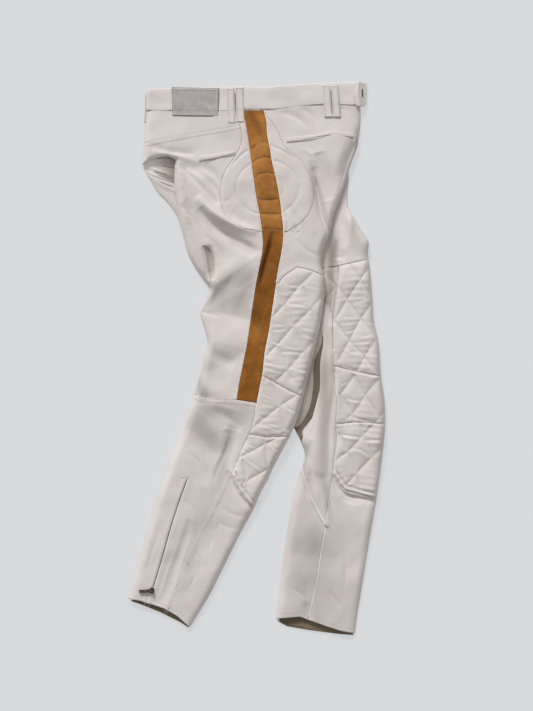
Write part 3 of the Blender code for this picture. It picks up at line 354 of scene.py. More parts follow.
# Smaller creases, traced: depth (up is positive), half width (or the two left and right of the
# course), path
RIGHT_CREASES = traced_folds(
    # under the yoke and down the seat
    (-2.8, (8.0, 4.0), ((150, 146), (170, 152), (196, 154))),
    (1.6, 5.0, ((150, 152), (176, 156), (200, 163))),
    (-2.6, (7.0, 5.0), ((184, 166), (204, 176), (216, 192))),
    (2.6, (5.0, 7.0), ((196, 168), (216, 182), (226, 200))),
    (-3.0, (7.0, 4.0), ((180, 205), (196, 222), (206, 240))),
    (2.2, 5.0, ((188, 200), (200, 214), (212, 232))),
    (-2.0, (5.0, 3.0), ((205, 236), (216, 246), (224, 262))),
    (-4.0, (2.0, 9.0), ((204, 246), (211, 251), (214, 262), (213.5, 273), (210, 284))),
    # big folds of the thigh: ridge and valley lines from the stripe to the outline
    (-1.6, (3.0, 3.0), ((198, 311), (206, 313), (220, 316))),
    (-4.0, (16.0, 2.0), ((190, 394), (204, 398), (222, 400))),
    (-0.4, 1.6, ((222, 322), (225, 336), (226, 350))),
    (-0.4, 1.6, ((229, 324), (232, 338), (233, 352))),
    (4.5, (7.0, 8.0), ((196, 196), (215, 213), (240, 227), (258, 233))),
    (-6.5, (7.0, 12.0), ((186, 200), (203, 216), (216, 228), (234, 239), (262, 254))),
    (-3.0, (6.0, 4.0), ((176, 163), (190, 176), (206, 192), (219, 206))),
    (-0.6, 4.5, ((236, 268), (229, 282), (224, 296))),
    (-0.6, 4.5, ((250, 286), (243, 298), (238, 310))),
    # back of the knee and calf
    (1.6, (3.0, 12.0), ((190, 405), (215, 405), (242, 412))),
    (-2.4, (9.0, 5.0), ((216, 411), (230, 420), (241, 430))),
    (1.4, (6.0, 7.0), ((198, 408), (210, 424), (219, 440))),
    (-1.6, (3.0, 3.0), ((224, 424), (232, 428), (242, 431))),
    (-1.8, (5.0, 4.0), ((229, 436), (225, 452), (216, 470), (213, 484), (216, 497))),
    (-1.2, (4.0, 5.0), ((205, 444), (206, 462), (211, 480), (216, 494))),
    (1.2, 4.0, ((234, 446), (230, 462), (222, 480))),
    (-1.6, (3.0, 4.0), ((188, 452), (199, 462), (206, 474))),
    (-1.4, 4.0, ((186, 500), (196, 512), (198, 528))),
    # lower leg, beside the zip
    (2.0, (12.0, 3.5), ((188, 512), (179, 543), (169, 570), (158, 602))),
    (-1.4, (3.0, 9.0), ((192, 520), (185, 545), (176, 572), (166, 604))),
    (-1.4, 3.0, ((184, 560), (192, 572))),
    (-1.6, 2.4, ((195, 552), (200, 560), (201, 571))),
    (-1.6, 2.4, ((190, 570), (194, 577), (190, 587))),
    (-1.4, 2.4, ((206, 534), (211, 541), (209, 550))),
    (-1.2, 2.4, ((214, 516), (219, 522), (218, 530))),
    (-1.5, (5.0, 3.0), ((222, 508), (234, 515), (246, 517))),
    (-1.2, (5.0, 3.0), ((218, 522), (230, 528), (240, 528))),
    (-1.2, 4.0, ((160, 530), (152, 552), (146, 572))),
    # step below the quilting's last band
    (-6.0, (1.4, 9.0), ((229, 470), (236, 488), (243, 498), (258, 513))),
    (2.4, (5.0, 1.2), ((229, 468), (236, 486), (243, 496), (258, 511))),
    # front of the hip
    (1.8, 4.0, ((303, 148), (311, 155), (315, 168))),
    (-3.6, (2.2, 6.0), ((312, 164), (315, 176), (318, 194), (321, 212), (330, 234))),
    (-2.4, (7.0, 4.0), ((282, 112), (298, 119), (308, 129))),
    (-1.8, (5.0, 3.0), ((302, 108), (314, 118), (318, 128))),
    (1.6, 5.0, ((342, 110), (350, 118), (358, 128))),
    (-1.8, 3.0, ((341, 107), (345, 113), (348, 120))),
    (-2.6, (9.0, 9.0), ((354, 143), (349, 153), (344, 164), (340, 178))),
    (1.8, 6.0, ((304, 180), (309, 208), (314, 236))),
    (-1.8, (3.0, 4.0), ((284, 212), (288, 222), (287, 234))),
    (-1.6, (3.0, 4.0), ((292, 210), (297, 222), (297, 236))),
    (-1.4, 3.0, ((278, 218), (281, 226), (280, 236))),
    (-1.6, (5.0, 4.0), ((296, 240), (306, 250), (322, 258))),
    # fine gathers round the hip pad
    (-0.9, 2.0, ((286, 204), (292, 212), (296, 222))),
    (-0.9, 2.0, ((292, 196), (300, 204), (306, 214))),
    (-0.9, 2.0, ((240, 205), (234, 213), (230, 222))),
    (-0.9, 2.0, ((234, 196), (226, 202), (221, 210))),
    (-0.9, 2.0, ((247, 214), (243, 221), (240, 229))))
RIGHT_FACETS = traced_folds(
    # thigh: down to a sharp valley at the outline's corner, then the same above the knee
    (7.0, (26.0, 30.0), ((200, 293), (222, 281), (240, 268), (262, 253))),
    (-12.0, (50.0, 58.0), ((184, 312), (212, 312), (234, 316), (262, 325))),
    (-4.6, (46.0, 44.0), ((184, 374), (212, 370), (232, 360), (252, 344))),
    # calf, below the seam
    (-9.0, (52.0, 70.0), ((178, 420), (200, 438), (214, 452), (232, 452))),
    (-3.4, (18.0, 7.0), ((233, 424), (230, 440), (224, 456), (217, 474), (216, 498))),
    # front of the hip, beside the turned edge
    (-5.0, (34.0, 22.0), ((360, 132), (353, 150), (347, 166), (338, 194))),
    (-4.0, (3.0, 14.0), ((312, 160), (315, 176), (318, 196), (322, 216), (330, 238))))
LEFT_FACETS = traced_folds(
    (-6.0, (10.0, 26.0), ((344, 250), (338, 272), (334, 296), (332, 326))),
    (-3.5, (34.0, 34.0), ((286, 552), (314, 556), (342, 558))),
    (-3.0, (4.0, 14.0), ((336, 350), (335, 392), (331, 436), (329, 478))))
SUEDE_CREASES = traced_folds(
    (-4.0, (3.0, 8.0), ((273, 232), (269, 250), (263, 270), (259, 288))),
    (-1.6, (3.0, 5.0), ((271, 232), (273, 240), (273, 250))),
    (-1.8, (3.0, 6.0), ((246, 110), (252, 126), (262, 140))),
    (1.2, 5.0, ((256, 110), (262, 122), (266, 134))),
    (-1.2, (8.0, 4.0), ((240, 398), (247, 388), (254, 372))))
SEAT_CREASES = traced_folds(
    (3.0, (2.0, 5.0), ((143, 163), (158, 170), (178, 177))),
    (2.6, (2.0, 5.0), ((146, 170), (160, 177), (180, 185))),
    (2.2, (2.0, 5.0), ((150, 178), (164, 185), (182, 193))),
    (1.6, (2.5, 5.0), ((170, 196), (178, 208), (184, 222))))
LEFT_CREASES = traced_folds(
    (-2.8, (4.0, 7.0), ((352, 186), (346, 206), (343, 236))),
    (2.0, 5.0, ((356, 200), (352, 220), (350, 248))),
    (-2.8, (3.0, 5.0), ((336, 180), (334, 200), (337, 226))),
    (-4.4, (4.0, 7.0), ((342, 256), (337, 272), (333, 296), (331, 324))),
    (2.6, (6.0, 4.0), ((330, 346), (329, 392), (323, 436), (320, 480))),
    (-2.8, (3.0, 6.0), ((336, 352), (335, 392), (330, 436), (329, 476))),
    (-2.6, (3.0, 6.0), ((316, 424), (311, 446), (312, 470), (316, 488))),
    (1.8, 4.0, ((306, 440), (305, 458), (308, 480))),
    (-1.8, (2.0, 5.0), ((302, 462), (304, 480), (308, 497))),
    (-2.4, (5.0, 2.4), ((308, 474), (322, 478), (332, 475))),
    (-2.0, (3.0, 5.0), ((326, 486), (331, 500), (328, 516))),
    (-2.4, (2.0, 5.0), ((303, 468), (308, 496), (317, 516), (328, 534))),
    (-5.0, (1.4, 9.0), ((332, 474), (341, 489), (347, 494), (360, 497), (382, 501))),
    (1.6, (5.0, 1.2), ((332, 472), (341, 487), (347, 492), (360, 495), (382, 499))),
    (-1.6, (6.0, 3.0), ((340, 498), (350, 502), (362, 504))),
    (-2.0, (2.0, 5.0), ((306, 582), (308, 600), (312, 620))),
    (1.4, 3.0, ((313, 590), (315, 606), (318, 622))),
    (-1.4, (3.0, 5.0), ((330, 590), (336, 600), (341, 608))),
    (-1.2, 4.0, ((292, 586), (298, 592), (306, 598))),
    (-1.4, 5.0, ((342, 540), (346, 570), (342, 600))))


def rounded(distance, radius):
    """Quarter-round rise: the root of one less the square of one less the share, 0 to 1."""
    u = np.clip(distance / radius, 0.0, 1.0)
    return np.sqrt(1.0 - (1.0 - u) ** 2)


def eased(distance, radius):
    """S-shaped rise: three times the square less twice the cube of the share, 0 to 1."""
    u = np.clip(distance / radius, 0.0, 1.0)
    return u * u * (3.0 - 2.0 * u)


def lower_of(first, second, soft):
    """Lower of two heights, with the corner between them rounded over a soft span."""
    share = np.clip(0.5 + 0.5 * (second - first) / soft, 0.0, 1.0)
    return second + (first - second) * share - soft * share * (1.0 - share)


def smooth_path(places, step=5.0):
    """Dense curve through a few places: a cubic in x and one in y over the chord length."""
    places = np.asarray(places, float)
    chord = np.concatenate([[0.0], np.cumsum(np.hypot(*np.diff(places, axis=0).T))])
    at = np.linspace(0.0, chord[-1], max(2, int(chord[-1] / step) + 1))
    if len(places) == 2:
        return np.stack([np.interp(at, chord, places[:, k]) for k in (0, 1)], -1)
    return np.stack([line(*zip(chord, places[:, k]))(at) for k in (0, 1)], -1)


def beside_path(x, y, path, reach):
    """Points within reach of a path: which they are, their signed distance from it (left of
    its course is positive) and how far along it they lie, in millimetres.  The nearest run
    of the path decides each point."""
    low, high = path.min(0) - reach, path.max(0) + reach
    which = np.flatnonzero((x > low[0]) & (x < high[0]) & (y > low[1]) & (y < high[1]))
    px, py = x[which], y[which]
    nearest = np.full(len(which), np.inf)
    aside = np.zeros(len(which))
    along = np.zeros(len(which))
    runs = np.diff(path, axis=0)
    lengths = np.hypot(runs[:, 0], runs[:, 1])
    starts = np.concatenate([[0.0], np.cumsum(lengths)])
    for (ax, ay), (dx, dy), length, start in zip(path, runs, lengths, starts):
        share = np.clip(((px - ax) * dx + (py - ay) * dy) / length ** 2, 0.0, 1.0)
        ox, oy = px - ax - share * dx, py - ay - share * dy
        distance = np.hypot(ox, oy)
        closer = distance < nearest
        nearest = np.where(closer, distance, nearest)
        aside = np.where(closer, np.where(dx * oy - dy * ox < 0, -distance, distance), aside)
        along = np.where(closer, start + share * length, along)
    return which, aside, along, starts[-1]


def tapered(along, total):
    """Dies out at both ends of a path: the root of a half sine over its length."""
    return np.sqrt(np.clip(np.sin(math.pi * np.clip(along / total, 0.0, 1.0)), 0.0, 1.0))


def creased(x, y, creases):
    """Sum of soft troughs and ridges: each a bell curve of the distance from its path, with one
    half width left of its course and one right of it."""
    total = np.zeros(len(x))
    for depth, widths, places in creases:
        left, right = np.broadcast_to(widths, 2)
        reach = 2.6 * max(left, right)
        which, aside, along, length = beside_path(x, y, smooth_path(places), reach)
        width = np.where(aside > 0.0, left, right)
        total[which] += depth * np.exp(-(aside / width) ** 2) * tapered(along, length)
    return total


def facets(x, y, table):
    """Sum of flat-sided folds: each falls (or rises) in a straight slope to its path from both
    sides, over one width left of its course and another right of it, and dies out at its ends."""
    total = np.zeros(len(x))
    for depth, (left, right), places in table:
        path = smooth_path(places)
        which, aside, along, length = beside_path(x, y, path, 1.1 * max(left, right))
        share = np.abs(aside) / np.where(aside > 0.0, left, right)
        slope = 1.0 - eased(share, 1.0) * 0.35 - np.clip(share, 0.0, 1.0) * 0.65
        total[which] += depth * slope * tapered(along, length)
    return total


def puckered(x, y, puckers):
    """Sum of puckers: each a narrow trough with a soft ridge below it on the garment."""
    total = np.zeros(len(x))
    for depth, width, places in puckers:
        which, aside, along, length = beside_path(x, y, smooth_path(places), 5.0 * width)
        down = np.where(smooth_path(places)[-1, 0] > smooth_path(places)[0, 0], -aside, aside)
        shape = 0.75 * np.exp(-((down - 1.9 * width) / (1.5 * width)) ** 2)
        shape = shape - np.exp(-(down / width) ** 2)
        total[which] += 0.8 * depth * shape * tapered(along, length)
    return total


def nearest_line(x, y, paths, reach):
    """Distance to the nearest of several paths, no more than the reach."""
    best = np.full(len(x), reach)
    for path in paths:
        which, aside, _, _ = beside_path(x, y, path, reach)
        best[which] = np.minimum(best[which], np.abs(aside))
    return best


def stitched_puff(x, y, paths, height, soft):
    """Padding between stitched lines: it rises from a line as one less an exponential of the
    distance, with a narrow groove on the line itself."""
    distance = nearest_line(x, y, paths, PUFF_REACH)
    return height * (1.0 - np.exp(-distance / soft)) - 0.5 * np.exp(-(distance / 1.0) ** 2)


def seam_relief(x, y, seams):
    """Sum of the seams: a groove on the seam, a felled band 7 mm wide beside it, and small
    ripples along it that die out away from it."""
    total = np.zeros(len(x))
    for path, side, groove, band in seams:
        which, aside, along, length = beside_path(x, y, path, SEAM_REACH)
        aside = aside * side
        end = eased(along, 3.0) * eased(length - along, 3.0)
        shape = -groove * np.exp(-(aside / 1.3) ** 2)
        shape = shape + band * eased(aside, 1.2) * eased(8.6 - aside, 2.4)
        shape = shape - 0.35 * band * np.exp(-((aside - 6.8) / 0.8) ** 2)
        ripple = np.sin(along / 2.1 + 1.7 * np.sin(along / 17.0)) * np.sin(along / 31.0 + 1.0)
        shape = shape + 0.28 * groove * ripple * np.exp(-(aside / 7.0) ** 2)
        total[which] += shape * end
    return total


def ripples(x, y, seed):
    """Slight unevenness of worn cloth: a sum of sine waves, 26 to 170 mm long, in all
    directions, each lower the shorter it is."""
    random = np.random.default_rng(seed)
    total = np.zeros(len(x))
    for length in np.geomspace(170.0, 26.0, 14):
        angle, phase = random.uniform(0.0, 2.0 * math.pi, 2)
        across = x * math.cos(angle) + y * math.sin(angle)
        total += 0.0032 * length * np.sin(2.0 * math.pi * across / length + phase)
    return total


def along_line(edge, top, bottom, step=8.0):
    """Path down a long line, from one y to another."""
    y = np.linspace(top, bottom, max(2, int(abs(top - bottom) / step)))
    return np.stack([edge(y), y], -1)


def along_seam(seam, left, right, step=6.0):
    """Path along a cross seam, from one x to another."""
    x = np.linspace(left, right, max(2, int(abs(right - left) / step)))
    return np.stack([x, seam(x)], -1)


def offset(path, distance):
    """The path moved sideways: left of its course is positive."""
    run = np.gradient(path, axis=0)
    run = run / np.hypot(run[:, 0], run[:, 1])[:, None]
    return path + distance * np.stack([-run[:, 1], run[:, 0]], -1)


def ring(centre, radii, start, end):
    """Part of an ellipse, between two angles in degrees."""
    angle = np.radians(np.linspace(start, end, 40))
    return np.stack([centre[0] + radii[0] * np.cos(angle), centre[1] + radii[1] * np.sin(angle)], -1)


PAD_MIDDLE = (23.0, 342.0)
PAD_RING = ring(PAD_MIDDLE, (63.5, 55.0), 0.0, 360.0)
PAD_ARCS = [ring(PAD_MIDDLE, (31.5, 30.0), -40.0, 42.0), ring(PAD_MIDDLE, (31.5, 30.0), 138.0, 215.0),
            np.array(traced((270, 145.5), (280, 149.5), (287, 153), (294, 158))),
            np.array(traced((250, 149.5), (244, 153), (239, 157.5), (233, 164)))]
PAD_HALVES = (ring(PAD_MIDDLE, (63.5, 55.0), -58.0, 79.0), ring(PAD_MIDDLE, (63.5, 55.0), 122.0, 255.0))
PAD_SIDES = (along_line(PAD_BACK, 470.0, 262.0), along_line(PAD_FRONT, 496.0, 260.0))
CHANNEL_SEAMS = [smooth_path(traced(*path)) for path in (
    ((248, 151.5), (252, 149.4), (261, 143.3), (268.8, 145.6), (272, 147)),
    ((249, 165.5), (252, 163.8), (258.8, 159.4), (265, 158), (272, 160), (275, 161)),
    ((251, 182), (254.4, 180), (258.8, 175.6), (265, 173.8), (274.4, 175), (278, 176)),
    ((253, 198), (257, 199.4), (263.8, 201), (271.3, 200.6), (279.4, 199.4), (283, 199)),
    ((256, 215.5), (259.4, 215), (270, 214.8), (281.3, 215), (285, 215)),
    ((258, 230), (262, 230), (272.5, 230), (282.5, 231.3), (286, 232)))]

# Seams: path, side of the felled band (left of the course is 1), groove, height of the band
STRIPE_SEAMS = (
    (along_line(STRIPE_BACK, 498.0, -84.0), -1, 0.9, 0.25),
    (along_line(FRONT_SEAM, 498.0, -88.0), 1, 0.9, 0.25))
RIGHT_QUILT_SEAMS = (
    (along_line(FRONT_SEAM, -90.0, -230.0), -1, 0.3, 0.8),
    (along_seam(QUILT_TOP, 42.0, 136.0), 1, 0.9, 1.0),
    (along_seam(QUILT_KNEE, 14.0, 96.0), -1, 1.2, 0.6),
    (along_seam(QUILT_SHIN, -18.0, 72.0), -1, 1.2, 0.5),
    (along_seam(QUILT_END, -48.0, -4.0), 1, 1.8, 1.5),
    (offset(along_seam(QUILT_END, -48.0, -4.0), 8.5), 1, 1.5, 1.1))
RIGHT_SEAMS = STRIPE_SEAMS + RIGHT_QUILT_SEAMS + (
    (along_seam(YOKE_SEAM, -222.0, -30.0), -1, 0.9, 0.7),
    (along_seam(WAIST_SEAM, -220.0, 206.0), -1, 1.4, 0.3),
    (along_line(FRONT_SEAM, -230.0, -512.0), -1, 0.1, 0.8),
    (along_seam(KNEE_BACK_SEAM, -128.0, 0.0), -1, 0.9, 0.5),
    (along_line(moved(RIGHT_BACK_EDGE, 15.0), 386.0, 180.0), 1, 0.8, 0.5))
LEFT_SEAT_SEAMS = ((along_seam(LEFT_YOKE_SEAM, -222.0, -150.0), -1, 0.9, 0.7),)
LEFT_QUILT_SEAMS = (
    (along_seam(LEFT_QUILT_TOP, 150.0, 232.0), 1, 0.9, 0.5),
    (along_seam(LEFT_QUILT_KNEE, 152.0, 250.0), -1, 1.2, 0.6),
    (along_seam(LEFT_QUILT_SHIN, 156.0, 258.0), -1, 1.2, 0.6),
    (along_seam(LEFT_QUILT_END, 154.0, 244.0), 1, 1.8, 1.5),
    (along_line(INSEAM, 190.0, -230.0), -1, 0.4, 0.7),
    (offset(along_seam(LEFT_QUILT_END, 154.0, 244.0), 8.5), 1, 1.5, 1.1))
LEFT_LEG_SEAMS = LEFT_QUILT_SEAMS + (
    (along_seam(INNER_SEAM, 88.0, 146.0), 1, 1.6, 1.8),
    (along_line(INSEAM, -230.0, -300.0), -1, 0.4, 0.6))


def paths_of(seams):
    """Paths alone of a table of seams."""
    return [seam[0] for seam in seams]


def from_edge(x, y, edge):
    """Distance from a long edge, square to it."""
    slope = (edge(y + SLOPE_REACH) - edge(y - SLOPE_REACH)) / (2.0 * SLOPE_REACH)
    return (x - edge(y)) / np.hypot(1.0, slope)


def turned(distance, radius):
    """Share of the cloth's thickness that lies sideways where the cloth turns over."""
    return np.clip(1.0 - distance / radius, 0.0, 1.0)


def main_folds(x, y, folds):
    """The largest folds, where the solids have them: bell-shaped ridges and troughs that die out
    at their ends."""
    total = np.zeros(len(x))
    for fold in folds:
        path = smooth_path(fold["path"])
        which, aside, along, length = beside_path(x, y, path, 3.0 * fold["width"])
        shape = np.exp(-(aside / fold["width"]) ** 2) * tapered(along, length)
        total[which] += fold["depth"] * shape
    return total


def right_half(x, y, depth=0.0):
    """Right half's upper cloth, a depth inside its face: between its two turned edges it rises
    as a quarter round to the crown, it is lower over the fold's lip, and the folds are added."""
    crown = RIGHT_CROWN(y) - depth
    radius = np.where(y > WAIST_SEAM(x), BAND_EDGE_RADIUS, EDGE_RADIUS)
    flap = (y > FOLD_CORNER[1]) | (x < FOLD_CORNER[0] - 1.0) & (y > 380.0)
    back = np.where(flap, from_edge(x, y, SEAT_EDGE), from_edge(x, y, RIGHT_BACK_EDGE))
    front = -from_edge(x, y, RIGHT_FRONT_EDGE)
    back_base = np.where(flap, SEAT_EDGE_BASE(y), BACK_EDGE_BASE(y))
    front_base = FRONT_EDGE_BASE(y)
    z = lower_of(back_base + (crown - back_base) * rounded(back, radius),
                 front_base + (crown - front_base) * rounded(front, radius), 2.0)
    over_lip = np.where(x < FOLD_CORNER[0], y - SEAT_LIP(x),
                        np.hypot(x - FOLD_CORNER[0], y - FOLD_CORNER[1]))
    lip = LIP_BASE(x) - depth + (crown + depth - LIP_BASE(x)) * rounded(over_lip, LIP_RADIUS)
    by_lip = y > 340.0
    z = np.where(by_lip, lower_of(z, lip, 1.0), z)
    fade = eased(back, EDGE_RADIUS) * eased(front, EDGE_RADIUS)
    fade = np.where(by_lip, fade * eased(over_lip, LIP_RADIUS), fade)
    z = z + main_folds(x, y, RIGHT_FOLDS) * fade
    return x + depth * (turned(back, radius) - turned(front, radius)), y, z


def left_half(x, y, depth=0.0):
    """Left half's upper cloth: low beside and under the right half, then up to its crown."""
    back = from_edge(x, y, LEFT_BACK_EDGE)
    front = -from_edge(x, y, LEFT_FRONT_EDGE)
    beside = eased(x - GAP_LINE(y) + 8.0, np.where(y > 200.0, 26.0, 16.0))
    crown = TUCKED + (LEFT_CROWN(y) - TUCKED) * beside - depth
    in_leg = eased(140.0 - y, 30.0)
    radius = EDGE_RADIUS * (0.3 + 0.7 * beside)
    back_rise = 1.0 - in_leg + in_leg * rounded(back, radius)
    z = lower_of(crown * back_rise, crown * rounded(front, EDGE_RADIUS), 1.0)
    z = z + main_folds(x, y, LEFT_FOLDS) * beside * eased(front, EDGE_RADIUS)
    sideways = in_leg * turned(back, radius) - turned(front, EDGE_RADIUS)
    return x + depth * sideways, y, z


def left_seat(x, y, depth=0.0):
    """Strip of the left half's seat beside the fold: level, with a turned edge."""
    back = from_edge(x, y, LEFT_SEAT_EDGE)
    return x + depth * turned(back, SEAT_TURN), y, (TUCKED - depth) * rounded(back, SEAT_TURN)


def right_sewing(x, y):
    """Seams, small creases and unevenness of the right half, dying out at its turned edges."""
    back = np.where(y > FOLD_CORNER[1], from_edge(x, y, SEAT_EDGE), from_edge(x, y, RIGHT_BACK_EDGE))
    front = -from_edge(x, y, RIGHT_FRONT_EDGE)
    fade = eased(back, SEWING_FADE) * eased(front, SEWING_FADE)
    folds = creased(x, y, RIGHT_CREASES) + facets(x, y, RIGHT_FACETS)
    return (seam_relief(x, y, RIGHT_SEAMS) + folds + ripples(x, y, 3)) * fade


def gathers(x, y, seed):
    """Small folds across the quilting: a sine wave about 13 mm long whose phase drifts, seen in
    patches only where the product of two slower waves is high."""
    wave = np.sin(2.0 * math.pi * y / 12.5 + 2.2 * np.sin(x / 29.0 + seed) + 1.4 * np.sin(y / 53.0))
    patch = np.sin(x / 21.0 + y / 37.0 + seed) * np.sin(y / 49.0 - x / 33.0 + 2.0 * seed)
    return 0.42 * wave * np.clip(patch + 0.2, 0.0, 1.0)


def right_quilting(x, y):
    """Sewing of the right half with the quilting's puff and puckers."""
    lines = [smooth_path(path) for path in RIGHT_QUILTING]
    lines += paths_of(STRIPE_SEAMS[1:] + RIGHT_QUILT_SEAMS)
    fade = eased(-from_edge(x, y, RIGHT_FRONT_EDGE), SEWING_FADE)
    puff = stitched_puff(x, y, lines, QUILT_PUFF, 6.0) + puckered(x, y, RIGHT_PUCKERS)
    puff = puff + gathers(x, y, 1.0)
    return right_sewing(x, y) + puff * fade


def pad_quilting(x, y):
    """Sewing of the right half with the hip pad's soft rings."""
    lines = [PAD_RING, *PAD_ARCS, *PAD_SIDES, *paths_of(STRIPE_SEAMS)]
    return right_sewing(x, y) + stitched_puff(x, y, lines, PAD_PUFF, 2.6)


def channel_quilting(x, y):
    """Sewing of the right half with the upper stripe's sewn channels."""
    lines = CHANNEL_SEAMS + paths_of(STRIPE_SEAMS)
    padded_part = eased(436.0 - y, 10.0)
    puff = stitched_puff(x, y, lines, CHANNEL_PUFF, 4.6) * padded_part
    return right_sewing(x, y) + puff + creased(x, y, SUEDE_CREASES)


def plain_suede(x, y):
    """Sewing of the right half with the lower stripe's own creases."""
    return right_sewing(x, y) + creased(x, y, SUEDE_CREASES)


def left_sewing(x, y):
    """Seams, small creases and unevenness of the left half."""
    fade = eased(-from_edge(x, y, LEFT_FRONT_EDGE), SEWING_FADE)
    in_leg = eased(from_edge(x, y, LEFT_BACK_EDGE), SEWING_FADE)
    fade = fade * np.where(y < 110.0, in_leg, 1.0)
    low = eased(x - GAP_LINE(y) + 6.0, 12.0)
    folds = creased(x, y, LEFT_CREASES) + facets(x, y, LEFT_FACETS)
    seams = seam_relief(x, y, LEFT_SEAT_SEAMS + LEFT_LEG_SEAMS)
    return (seams + folds + ripples(x, y, 8)) * fade * low


def left_quilting(x, y):
    """Sewing of the left half with the quilting's puff and puckers."""
    lines = [smooth_path(path) for path in LEFT_QUILTING] + paths_of(LEFT_QUILT_SEAMS)
    fade = eased(-from_edge(x, y, LEFT_FRONT_EDGE), SEWING_FADE)
    puff = stitched_puff(x, y, lines, QUILT_PUFF, 6.0) + puckered(x, y, LEFT_PUCKERS)
    puff = puff + gathers(x, y, 4.0)
    return left_sewing(x, y) + puff * fade


def inner_quilting(x, y):
    """Sewing of the inner thigh, with the quilting running on at its top."""
    high = eased(y - 20.0, 60.0)
    return left_sewing(x, y) * (1.0 - high) + (left_quilting(x, y) - 1.4) * high


def seat_sewing(x, y):
    """Yoke seam and layered folds of the strip of the left half that shows below the fold."""
    relief = seam_relief(x, y, LEFT_SEAT_SEAMS) + creased(x, y, SEAT_CREASES)
    return relief * eased(from_edge(x, y, LEFT_SEAT_EDGE), SEAT_TURN)


def unsewn(x, y):
    """No relief."""
    return np.zeros(len(x))


def plane(height):
    """Level cloth whose face is at a height."""
    return lambda x, y, depth=0.0: (x, y, np.full(np.shape(x), height - depth))


def spread(width, step, round_first=False, round_last=False, radius=EDGE_RADIUS):
    """Fractions across a band, closer together where the cloth turns over at an edge."""
    turn = [radius * (1.0 - math.cos(a)) for a in np.radians(TURN_ANGLES)]
    first = turn if round_first else [0.0]
    last = [width - d for d in turn[::-1]] if round_last else [width]
    low = radius if round_first else 0.0
    high = width - radius if round_last else width
    count = max(1, round((high - low) / step))
    middle = [low + (high - low) * k / count for k in range(count + 1)]
    inner = middle[0 if round_first else 1:None if round_last else -1]
    return np.array(first + inner + last) / width


ONE_CELL = np.array((0.0, 1.0))  # a band that is a single cell wide


def bands(*parts):
    """Grid coordinates of several bands side by side: band k runs from k to k + 1."""
    places = [np.asarray(part) + k for k, part in enumerate(parts)]
    return np.concatenate([places[0]] + [part[1:] for part in places[1:]])


def between(lines, places):
    """Value at each grid coordinate, straight between neighbouring lines."""
    k = np.minimum(places.astype(int), len(lines) - 2)
    k = np.broadcast_to(k, np.broadcast_shapes(k.shape, lines[0].shape))
    stack = np.stack([np.broadcast_to(values, k.shape) for values in lines])
    low = np.take_along_axis(stack, k[None], 0)[0]
    high = np.take_along_axis(stack, k[None] + 1, 0)[0]
    return low + (high - low) * (places - k)


def plan(sides, seams, columns, rows):
    """Plan points of a panel: columns run between its sides and rows between its seams.  Each
    seam's heights settle by repeated damped reading of the seam at the sides' places."""
    levels = []
    for seam in seams:
        y = seam(between([side(np.zeros(len(columns))) for side in sides], columns))
        for _ in range(SETTLING_ROUNDS):
            x = between([side(y) for side in sides], columns)
            y = 0.5 * y + 0.5 * seam(x)
        levels.append(y)
    y = between([level[None, :] for level in levels], rows[:, None])
    return between([side(y) for side in sides], columns[None, :]), y


def add_mesh(name, points, quads, triangles=None, flat=None):
    """Mesh from whole arrays: points in millimetres, four-cornered faces, then three-cornered
    ones.  The faces marked flat keep their own direction in the shading."""
    triangles = np.zeros((0, 3), int) if triangles is None else triangles
    mesh = bpy.data.meshes.new(name)
    mesh.vertices.add(len(points))
    mesh.vertices.foreach_set("co", (points * MM).astype(np.float32).ravel())
    corners = np.concatenate([quads.ravel(), triangles.ravel()]).astype(np.int32)
    mesh.loops.add(len(corners))
    mesh.loops.foreach_set("vertex_index", corners)
    sizes = np.concatenate([np.full(len(quads), 4), np.full(len(triangles), 3)])
    mesh.polygons.add(len(sizes))
    starts = np.concatenate([[0], np.cumsum(sizes)[:-1]]).astype(np.int32)
    mesh.polygons.foreach_set("loop_start", starts)
    smooth = np.ones(len(sizes), bool) if flat is None else ~flat
    mesh.update(calc_edges=True)
    mesh.polygons.foreach_set("use_smooth", smooth)
    piece = bpy.data.objects.new(name, mesh)
    bpy.context.scene.collection.objects.link(piece)
    return piece


def shell(name, outer, inner, keep):
    """Closed shell between an outer and an inner grid.  A rim closes each edge that only one
    kept cell has, found as the directed edges whose reverse is missing."""
    rows, columns = outer[0].shape
    number = np.arange(rows * columns).reshape(rows, columns)
    cells = np.stack([number[:-1, :-1], number[1:, :-1], number[1:, 1:], number[:-1, 1:]], -1)[keep]
    used = np.unique(cells)
    place = np.zeros(rows * columns, int)
    place[used] = np.arange(len(used))
    cells = place[cells]
    count = len(used)
    starts, ends = cells.ravel(), np.roll(cells, -1, axis=1).ravel()
    lone = ~np.isin(starts * count + ends, ends * count + starts)
    starts, ends = starts[lone], ends[lone]
    rim = np.stack([ends, starts, starts + count, ends + count], -1)
    faces = np.concatenate([cells, cells[:, ::-1] + count, rim])
    points = [np.stack([part.ravel()[used] for part in grid], -1) for grid in (outer, inner)]
    flat = np.arange(len(faces)) >= 2 * len(cells)
    return add_mesh(name, np.concatenate(points), faces, flat=flat)


def cells_kept(columns, rows, skip):
    """Which grid cells a panel keeps: skip holds the (row band, column band) pairs left out."""
    row_band = ((rows[:-1] + rows[1:]) / 2).astype(int)
    column_band = ((columns[:-1] + columns[1:]) / 2).astype(int)
    keep = np.ones((len(row_band), len(column_band)), bool)
    for row, column in skip:
        keep &= ~((row_band[:, None] == row) & (column_band[None, :] == column))
    return keep


